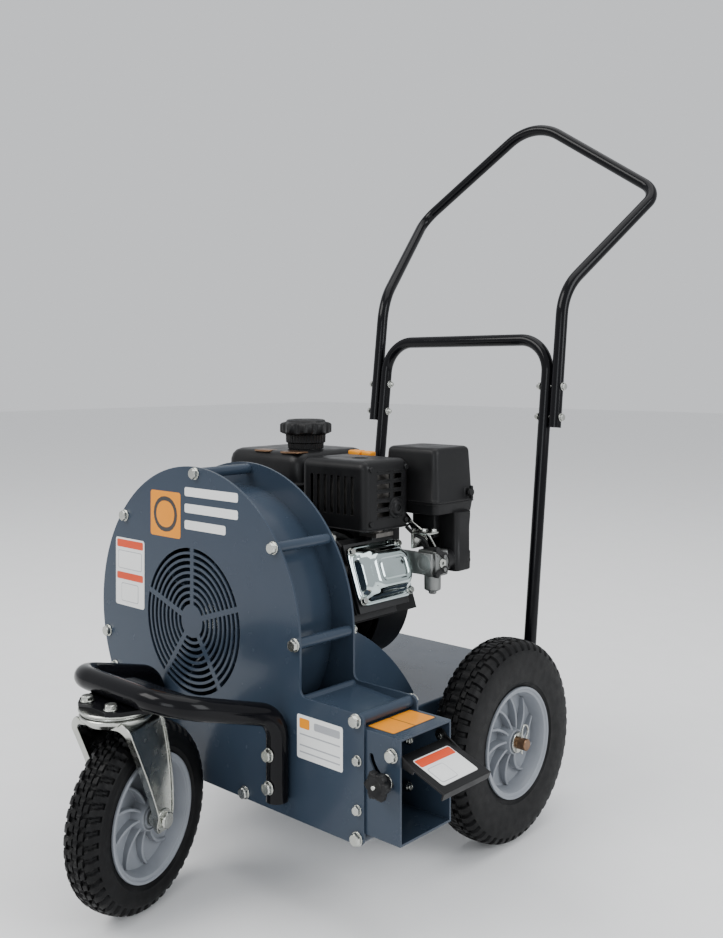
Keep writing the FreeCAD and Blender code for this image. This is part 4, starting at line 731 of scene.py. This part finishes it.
def air_cleaner():
    bm = bmesh.new()
    levels = [(458, 50, 46, 9), (458.2, 51, 47, 9), (460.4, 51.4, 47.4, 9), (461, 50.4, 46.4, 9),
              (463, 50.2, 46.2, 9), (464, 49.4, 45.4, 9), (500, 47.8, 43.8, 9), (528, 46.4, 42.4, 9),
              (532.6, 45.8, 41.8, 9), (535.4, 44.0, 40.0, 9), (536.7, 41.6, 37.6, 9), (537, 38, 34, 8)]
    loft_rects(bm, levels, upright(AIR_X, AIR_Y), 8)
    block(bm, (AIR_X + 44, 22, 463), (AIR_X + 49.6, 38, 477), 1.4)
    block(bm, (AIR_X - 30, AIR_Y - 47.2, 463), (AIR_X - 18, AIR_Y - 42, 476), 1.4)
    piece("air_cleaner_lid", bm, MOULDED, "chassis", ["air_cleaner_cover"])
    bm = bmesh.new()
    levels = [(442, 47, 43, 9), (442.8, 48.4, 44.4, 9), (456, 50.0, 46.0, 9), (456.4, 51.4, 47.4, 9),
              (457.8, 51.4, 47.4, 9), (458, 50, 46, 9)]
    loft_rects(bm, levels, upright(AIR_X, AIR_Y), 8)
    loft_rects(bm, [(358, 17, 17, 7), (359.5, 18.6, 18.2, 8), (384, 19, 18.5, 8), (386, 18, 17.5, 8),
                    (420, 18, 17.5, 8), (436, 19, 18.5, 8), (443, 19, 18.5, 8)],
               lambda u, v, h: Vector((115 + u, 14.5 + v, h)), 6)
    pipe(bm, [(115, -17.5, 375), (115, 0, 375)], 15, 28)
    pipe(bm, [(121, CLIP.y, CLIP.z), (135.8, CLIP.y, CLIP.z)], 2.9, 14)
    block(bm, (52, 8, 384), (112, 11, 446), 1.0)
    block(bm, (58, -14, 404), (100, 9, 443), 3.0)
    hexagon(bm, (130.8, 24, 372), X, 8, 3.4)
    piece("air_cleaner_tray", bm, MOULDED, "chassis", ["air_cleaner_base"])
    bm = bmesh.new()
    lobed(bm, [(0.4, 5.6, 0), (1, 6, 0), (4, 6, 0), (4.6, 5.4, 0), (6.6, 5.2, 0), (7, 4.4, 0)],
          CLIP, X, 8, 48)
    block(bm, CLIP + Vector((2, -2, -9.8)), CLIP + Vector((7.8, 2, 9.8)), 1.6, 3)
    piece("air_cleaner_wing", bm, MOULDED, "filter_knob", ["air_cleaner_knob"])
    bm = bmesh.new()
    pleats = 46
    for i in range(pleats):
        x = AIR_X - 36 + 72 * i / pleats
        block(bm, (x, AIR_Y - 33, 458.5), (x + 1.1, AIR_Y + 33, 524.5), 0.2, 1)
    for z in (458, 522):
        block(bm, (AIR_X - 37, AIR_Y - 33.4, z), (AIR_X + 37, AIR_Y + 33.4, z + 3), 0.8)
    piece("pleated_element", bm, PAPER, "chassis", ["air_filter"])


def tank():
    cx, cy, half_u, half_v, low, top = TANK
    bm = bmesh.new()
    insets = [(low, 14, 18), (low + 1.5, 8, 20), (low + 6, 4.5, 22), (low + 34, 3.5, 22),
              (low + 36, 0.4, 24), (low + 36.4, 0, 24), (low + 38.8, 0, 24), (low + 39.2, 0.4, 24),
              (low + 41, 3.2, 22), (top - 17, 4.2, 22), (top - 9, 6.5, 21), (top - 3.6, 11, 19),
              (top - 1, 17, 17), (top - 0.4, 26, 14), (top, 44, 10)]
    levels = [(height, half_u - inset, half_v - inset, corner) for height, inset, corner in insets]
    loft_rects(bm, levels, upright(cx, cy), 8)
    cap = Vector((-96, -82, top))
    revolve(bm, [(-2, 19), (6.4, 19), (7, 19.6), (7, 22.4), (6.4, 23), (1.4, 23), (0.8, 25.5), (-2, 26)],
            cap, Z, 48)
    block(bm, (-132, -66, FAN.z + 106), (-62, -12, low + 2), 3, 2)
    piece("tank_shell", bm, SATIN_BLACK, "chassis", ["fuel_tank"])
    bm = bmesh.new()
    skirt = [(1, 26.6, 0.5), (9, 27.2, 0.5), (10.5, 29.6, 0.6), (21, 30, 0.6), (22.6, 31, 0)]
    lobed(bm, skirt, cap, Z, 36, 216)
    grip = [(22.4, 31, 0), (24, 34.6, 1.5), (26, 36, 3.4), (37, 36.2, 3.3), (39.4, 35, 2.6),
            (40.8, 32.6, 1.2), (41.4, 30.5, 0), (44, 29, 0), (45, 26.5, 0), (44.6, 22, 0),
            (43.4, 20, 0), (43.4, 9, 0), (44.4, 7, 0), (44.6, 2, 0)]
    lobed(bm, grip, cap, Z, 8, 128)
    piece("tank_cap", bm, MOULDED, "tank_cap", ["fuel_cap"])
    bm = bmesh.new()
    for x0, x1, y0, y1 in ((-150, -118, -139, -118), (-92, -56, -140, -116)):
        block(bm, (x0, y0, top - 3.3), (x1, y1, top - 0.2), 1.2)
    piece("tank_trim", bm, COPPER, "chassis")
    bm = bmesh.new()
    block(bm, (-37, -52, 517), (-14, -34, 527.5), 3.0, 3)
    block(bm, (-12, -50, 518), (6, -34, 526.8), 3.0, 3)
    block(bm, (-52, -50, 505), (8, -36, 518.5), 2.0, 2)
    piece("amber_clip", bm, AMBER, "chassis")


def muffler_details():
    """Trim on the guard, which spans these limits in x, y and z."""
    x0, x1, y0, y1, z0, z1 = -37.0, 88.0, -151.0, -55.0, 426.0, 523.0
    bm = bmesh.new()
    # outlet boss on the side that faces the air outlet, ringed and bolted
    boss = Vector((x1 - 0.4, -86, 455))
    revolve(bm, [(-1, 0), (-1, 15), (1.2, 15), (2.4, 13.6), (2.4, 11.5), (5.4, 9.5), (6.4, 7.6), (6.4, 4.6),
                 (3.6, 4.2), (3.6, 0)], boss, X, 40, closed=False)
    for z in (z0 + 10, z1 - 12):
        for y in (y0 + 12, y1 - 10):
            hexagon(bm, (x1 - 0.2, y, z), X, 7, 3)
    for z in (z0 + 17 + 13 * i for i in range(6)):
        for a, b in ((y0 + 25, y0 + 53), (y0 + 59, y0 + 79)):
            block(bm, (x1 - 0.6, a, z - 1.8), (x1 + 0.9, b, z + 0.2), 0.6)
    hem = smooth_path([(x0 + 3, y0 + 0.2, z0 + 1.4), (x1 - 0.2, y0 + 0.2, z0 + 1.4),
                       (x1 - 0.2, y1 - 3, z0 + 1.4)], [10])
    pipe(bm, hem, 1.6, 10)
    revolve(bm, [(0, 0), (0, 12), (0.9, 11.2), (0.9, 8.4), (-0.6, 7.4), (-0.6, 0)],
            (x0 + 74, y0 + 46, z1 - 0.1), Z, 32, closed=False)
    piece("muffler_guard_trim", bm, SATIN_BLACK, "chassis")


def engine_details():
    """Hoses, linkage, carburettor and spark plug cap."""
    bm = bmesh.new()
    pipe(bm, curve_through([(63, -150, 384), (66, -158, 392), (60, -164, 402), (30, -160, 418),
                            (-5, -150, 420), (-30, -120, 419)], 8), 3.2, 12)
    pipe(bm, curve_through([(20, -20, 441), (52, -24, 436), (84, -34, 412), (104, -38, 394)], 8), 3.6, 12)
    pipe(bm, curve_through([(82, -56, 424), (96, -54, 414), (110, -50, 408), (112, -44, 396)], 8), 2.6, 12)
    piece("hoses_and_lead", bm, RUBBER, "chassis")
    bm = bmesh.new()
    rod = [(66, -52, 425), (86, -50, 432), (118, -48, 414), (122, -40, 398)]
    pipe(bm, smooth_path(rod, [6, 6]), 1.5, 10)
    coil = [Vector((88 + 22 * i / 96, -46 + 3.2 * math.cos(i * 0.72), 419 - 10 * i / 96
                    + 3.2 * math.sin(i * 0.72))) for i in range(97)]
    pipe(bm, coil, 0.7, 6)
    block(bm, (92, -58, 394), (96, -30, 420), 1.0)
    block(bm, (92, -58, 416), (124, -34, 419), 1.0)
    hexagon(bm, (108, -46, 419), Z, 8, 4)
    hexagon(bm, (120, -40, 419), Z, 7, 4)
    washer(bm, (132, CARB_SIDE_Y, 375), X, 7, 2.5, 1.2)
    piece("governor_linkage", bm, ZINC, "chassis")
    bm = bmesh.new()
    block(bm, (98.2, -50, 357), (131.8, -22, 393), 2.2, 3)
    block(bm, (66.2, -58.9, 359.2), (130, -53, 390.8), 2.0, 2)
    bowl = [(0, 0), (0, 9.5), (1.6, 11.8), (8, 12), (21, 12), (22, 13.2), (25, 13.2), (26, 12), (29, 12)]
    revolve(bm, bowl, (115, -37, 335), Z, 40, closed=False)
    hexagon(bm, (115, -37, 335), -Z, 10, 5)
    revolve(bm, [(0, 9), (0, 14), (41, 14), (41, 9)], (115, -59, 375), Y, 36)
    for z in (388, 362):
        for y in (-46, -27):
            hexagon(bm, (131.4, y, z), X, 5.5, 1.6)
    for z in (366, 384):
        revolve(bm, [(0, 0), (0, 3), (12, 3), (12, 0)], (124, -34, z), X, 16, closed=False)
    piece("carburettor_body", bm, CAST, "chassis", ["carburettor"])
    bm = bmesh.new()
    base = tilted(-56, 14, 142)
    hexagon(bm, base, -Y, 16, 7)
    revolve(bm, [(7, 0), (7, 7), (9, 7), (9.6, 5), (14, 5), (14, 0)], base, -Y, 24, closed=False)
    revolve(bm, [(12, 5), (12, 7.6), (14, 8.5), (30, 8.5), (33.4, 7), (34, 4), (34, 0)], base, -Y, 28,
            closed=False)
    piece("spark_plug_cap", bm, RUBBER, "chassis", ["spark_plug"])


# ---- caster
def leg_edges(z):
    """Front and rear edge of a fork leg at height z, rounded about the axle below it."""
    if z >= FRONT_R + 6:
        t = (z - FRONT_R - 6) / (CROWN_Z + 3 - FRONT_R - 6)
        return 23.4 + (-33 - 23.4) * t ** 1.15, 56.6 + (36 - 56.6) * t ** 2.2
    reach = math.sqrt(max(16.6 ** 2 - (z - FRONT_R) ** 2, 0.25))
    return TRAIL - reach, TRAIL + reach


def caster():
    """Pressed fork about the front wheel, its axle bolt and the swivel plate above it."""
    turn = caster_turn()
    bm = bmesh.new()
    inner, sheet, bend = FRONT_W / 2 + 9, 3.0, 11.0
    profile = []
    z = FRONT_R - 14
    while z < CROWN_Z - bend:
        profile.append((inner + sheet / 2, z, 0.0))
        z += 4.0
    for i in range(9):
        a = math.pi / 2 * i / 8
        profile.append((inner + sheet / 2 - bend * (1 - math.cos(a)),
                        CROWN_Z + 1.5 - bend + bend * math.sin(a), a))
    profile.append((0.0, CROWN_Z + 1.5, math.pi / 2))
    strip = profile + [(-x, z, math.pi - a) for x, z, a in reversed(profile[:-1])]
    rows = []
    for x, z, a in strip:
        front, rear = leg_edges(min(z, CROWN_Z + 3))
        normal = Vector((math.cos(a), 0, math.sin(a)))
        rolled = 1.0 if z > FRONT_R + 10 else max((z - FRONT_R + 14) / 24, 0.0)
        lip = 6.0 * rolled * (1.0 if abs(x) > inner - 6 else 0.25)
        centre = Vector((x, 0, z))
        half = sheet / 2
        outline = [(front, -half), (front, lip + half), (front + 1.0, lip + half + 0.6),
                   (front + 2.8, lip + half - 0.4), (front + 3.0, half + 0.8), (front + 4.4, half),
                   (rear - 4.4, half), (rear - 3.0, half + 0.6), (rear - 2.6, lip * 0.5 + half),
                   (rear - 0.8, lip * 0.5 + half + 0.4), (rear, lip * 0.5 + half - 0.2), (rear, -half)]
        rows.append([bm.verts.new(centre + Y * y + normal * n) for y, n in outline])
    bridge(bm, rows)
    bm.faces.new(rows[0])
    bm.faces.new(list(reversed(rows[-1])))
    revolve(bm, [(CROWN_Z, 9.4), (CROWN_Z, 37), (CROWN_Z + 3, 40), (CROWN_Z + 5.4, 42.2),
                 (CROWN_Z + 7, 43), (CROWN_Z + 9, 43), (CROWN_Z + 10, 42), (CROWN_Z + 9.4, 37),
                 (CROWN_Z + 7.6, 33), (CROWN_Z + 7, 9.4)], (0, 0, 0), Z, 72)
    bmesh.ops.transform(bm, matrix=turn, verts=bm.verts)
    piece("fork_pressing", bm, ZINC, "caster", ["caster_fork"], smooth=35)
    bm = bmesh.new()
    face = inner + sheet
    centre = Vector((0, TRAIL, FRONT_R))
    for side in (1, -1):
        hexagon(bm, centre + X * side * (face + 1.6), X * side, 18.4, 6.2)
        washer(bm, centre + X * side * face, X * side, 13, FRONT_BORE, 1.6)
        revolve(bm, [(0, FRONT_BORE), (0, 8.4), (0.8, 10), (inner - 21.6, 10), (inner - 21.3, 9),
                     (inner - 21.3, FRONT_BORE)], centre + X * side * 21.3, X * side, 32)
    revolve(bm, [(0, 0), (0, 5.4), (1, 6), (2 * face + 18.6, 6), (2 * face + 20, 4.8), (2 * face + 20, 0)],
            centre - X * (face + 12), X, 28, closed=False)
    bmesh.ops.transform(bm, matrix=turn, verts=bm.verts)
    piece("caster_axle_bolt", bm, ZINC, "caster", ["caster_axle"])
    bm = bmesh.new()
    under = PLATE_UNDER_Z - 3
    revolve(bm, [(under, 9), (under, 38), (under - 1, 40.4), (under - 2, 41), (CROWN_Z + 11.2, 41),
                 (CROWN_Z + 10.4, 40), (CROWN_Z + 10.4, 9)], SWIVEL, Z, 72)
    revolve(bm, [(under, 9), (under, 43.2), (PLATE_UNDER_Z - 2.4, 44),
                 (PLATE_UNDER_Z - 0.8, 44), (PLATE_UNDER_Z, 43.2), (PLATE_UNDER_Z, 9)], SWIVEL, Z, 72)
    revolve(bm, [(CROWN_Z - 4, 0), (CROWN_Z - 4, 11), (CROWN_Z - 3, 13), (CROWN_Z - 0.4, 13),
                 (CROWN_Z - 0.4, 8.9), (CROWN_Z + 10.4, 8.9)], SWIVEL, Z, 32, closed=False)
    piece("swivel_plate", bm, ZINC, "chassis", ["caster_top_plate"])


# ---- outlet clamp, axle ends, starter
def clamp():
    """Star knob outside the box and the bolt that joins it to the flap, through the curved slot."""
    stud = polar(32.0, 255, PIVOT)
    bm = bmesh.new()
    lobed(bm, [(0, 8.8, 0), (7.6, 9, 0), (8.4, 12.4, 1.2), (9.6, 14.6, 2.4), (16.6, 14.8, 2.4),
               (18.4, 13.6, 2.0), (19, 11.6, 1.0), (18.2, 9.0, 0), (17.6, 7.0, 0), (17.6, 2, 0)],
          (stud.x, INNER_FRONT - 2.1, stud.z), -Y, 6, 96)
    piece("star_knob", bm, MOULDED, "deflector_knob", ["clamp_knob"])
    bm = bmesh.new()
    revolve(bm, [(-5, 0), (-5, 5), (-4, 6.4), (-2, 6.5), (-2, 2.95), (25, 2.95), (26.8, 2.2), (26.8, 0)],
            (stud.x, INNER_FRONT + 2.8, stud.z), -Y, 24, closed=False)
    washer(bm, (stud.x, INNER_FRONT - 0.3, stud.z), -Y, 9, 3.05, 1.5)
    piece("clamp_bolt", bm, ZINC, "deflector", ["clamp_stud"])


def axle_ends():
    inner, outer = REAR_X - REAR_W / 2 + 5, REAR_X + REAR_W / 2 - 5
    bm, ends, clips = bmesh.new(), bmesh.new(), bmesh.new()
    for side in (1, -1):
        out = X * side
        base = Vector((0, 0, REAR_R))
        revolve(bm, [(155.5, REAR_BORE), (155.5, 11.8), (156.2, 12.5), (inner - 1, 12.5),
                     (inner - 0.3, 11.8), (inner - 0.3, REAR_BORE)], base, out, 36)
        washer(bm, base + out * (outer + 0.3), out, 14, REAR_BORE, 2.6)
        revolve(ends, [(outer + 3, 0), (outer + 3, 8), (AXLE_END - 1, 8), (AXLE_END, 7), (AXLE_END, 0)],
                base, out, 32, closed=False)
        eye = base + out * (outer + 8)
        loop = [(0, 0, -14), (0, 0, 2), (0, 0.5, 16), (0, 5, 23.5), (0, 11.5, 22), (0, 15, 15), (0, 12, 8),
                (0, 9.6, 0), (0, 12.4, -6), (0, 13.2, -11)]
        pipe(clips, curve_through([eye + Vector(p) for p in loop], 7), 1.45, 10)
    half = outer - 27
    revolve(bm, [(-half, 0), (-half, AXLE_R), (half, AXLE_R), (half, 0)], (0, 0, REAR_R), X, 28,
            closed=False)
    piece("axle_spacers", bm, ZINC, "chassis")
    piece("axle_ends", ends, COPPER, "chassis", ["rear_axle"])
    piece("hairpins", clips, ZINC, "chassis", ["axle_keepers"])


def starter():
    """Grip across the rope, and the rope that stretches from the cover to it."""
    start = ROPE_OUT + PULL * 0.3
    bm = bmesh.new()
    line = [start + PULL * 20 + ACROSS * (24 * t) for t in (-1, -0.94, -0.8, -0.45, 0, 0.45, 0.8, 0.94, 1)]
    pipe(bm, line, [5.5, 7.8, 8.8, 8.3, 9, 8.3, 8.8, 7.8, 5.5], 24)
    revolve(bm, [(0, 0), (0, 5.2), (1.4, 6.4), (9, 6.2), (15, 7.6), (18, 7.6), (18, 0)], start, PULL, 28,
            closed=False)
    piece("pull_handle", bm, MOULDED, "starter_grip", ["recoil_grip"])
    bm = bmesh.new()
    far = start - PULL * 19
    rope = [far + (start + PULL * 4 - far) * (i / 24) for i in range(25)]
    pipe(bm, rope, 2.1, 12)
    cord = piece("starter_rope", bm, LABEL_GREY, None)
    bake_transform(cord)


# ---- blank labels and trim stripes
LABEL_LIFT, LABEL_T, LABEL_STEP, FLAP_SLOPE = 0.02, 0.16, 0.12, 20.0


def rounded_outline(width, height, corner):
    steps = 5
    corner = min(corner, width / 2 - 0.01, height / 2 - 0.01)
    points = []
    for quarter, (su, sv) in enumerate(((1, 1), (-1, 1), (-1, -1), (1, -1))):
        for i in range(steps + 1):
            a = math.pi / 2 * (quarter + i / steps)
            points.append((su * (width / 2 - corner) + corner * math.cos(a),
                           sv * (height / 2 - corner) + corner * math.sin(a)))
    return points


def label(name, centre, across, up, patches, body="chassis"):
    """Thin sticker on a face: each patch is (u, v, width, height, corner, level, material)."""
    across, up = Vector(across).normalized(), Vector(up).normalized()
    normal = across.cross(up).normalized()
    bm = bmesh.new()
    materials = []
    for u, v, width, height, corner, level, material in patches:
        if material not in materials:
            materials.append(material)
        before = set(bm.faces)
        base = Vector(centre) + across * u + up * v + normal * LABEL_LIFT
        prism(bm, rounded_outline(width, height, corner), base, across, up,
              normal * (LABEL_T + LABEL_STEP * level))
        for face in set(bm.faces) - before:
            face.material_index = materials.index(material)
    piece(name, bm, materials, body)


def labels():
    label("emblem_plain", (-116, FRONT_Y, 452), X, Z,
          [(0, 0, 66, 62, 4, 0, LABEL_ORANGE), (0, 0, 52, 48, 24, 1, LABEL_BLACK),
           (0, 0, 40, 36, 18, 2, LABEL_ORANGE)])
    label("stripe_bars", (-20, FRONT_Y, 462), X, Z,
          [(0, 24, 108, 12, 3, 0, LABEL_WHITE), (0, 2, 108, 12, 3, 0, LABEL_WHITE),
           (-12, -20, 84, 12, 3, 0, LABEL_WHITE)])
    label("safety_label_blank", (-198, FRONT_Y, 361), X, Z,
          [(0, 0, 68, 96, 4, 0, LABEL_WHITE), (0, 40, 62, 11, 2, 1, LABEL_RED),
           (0, -6, 62, 10, 2, 1, LABEL_RED), (0, 17, 56, 26, 3, 1, LABEL_GREY),
           (0, 17, 54, 24, 2.5, 2, LABEL_WHITE), (0, -29, 40, 26, 3, 1, LABEL_GREY),
           (0, -29, 38, 24, 2.5, 2, LABEL_WHITE)])
    label("plate_label_blank", (179, FRONT_Y, 212), X, Z,
          [(0, 0, 75, 52, 3, 0, LABEL_WHITE), (-25, 16, 17, 12, 2, 1, LABEL_ORANGE),
           (12, 16, 42, 9, 2, 1, LABEL_GREY), (0, -10, 66, 1.6, 0.5, 1, LABEL_GREY),
           (0, -18, 66, 1.6, 0.5, 1, LABEL_GREY), (0, 3, 66, 1.6, 0.5, 1, LABEL_GREY)])
    label("outlet_label_blank", (263, -281, DUCT_HIGH), X, Y,
          [(0, 0, 42, 78, 3, 0, LABEL_BLACK), (0, 0, 38.5, 74.5, 2.4, 1, LABEL_ORANGE),
           (0, 0, 38.5, 1.2, 0.4, 2, LABEL_BLACK)])
    tilt = math.radians(FLAP_SLOPE)
    slope = Vector((math.cos(tilt), 0, -math.sin(tilt)))
    above = Vector((math.sin(tilt), 0, math.cos(tilt)))
    middle = Vector((PIVOT.x, (INNER_FRONT + INNER_REAR) / 2, PIVOT.z)) + slope * 41 + above
    label("flap_label_blank", middle, Y, -slope,
          [(0, 0, 66, 48, 4, 0, LABEL_BLACK), (0, 0, 64, 46, 3.4, 1, LABEL_WHITE),
           (0, 15.5, 62, 12, 2, 2, LABEL_RED), (-14, -7, 28, 24, 3, 2, LABEL_GREY),
           (-14, -7, 26.4, 22.4, 2.4, 3, LABEL_WHITE)], "deflector")


camera()
studio()
finish_frame()
fasteners()
tubes()
wheels()
valve_cover()
air_cleaner()
tank()
muffler_details()
engine_details()
caster()
clamp()
axle_ends()
starter()
labels()
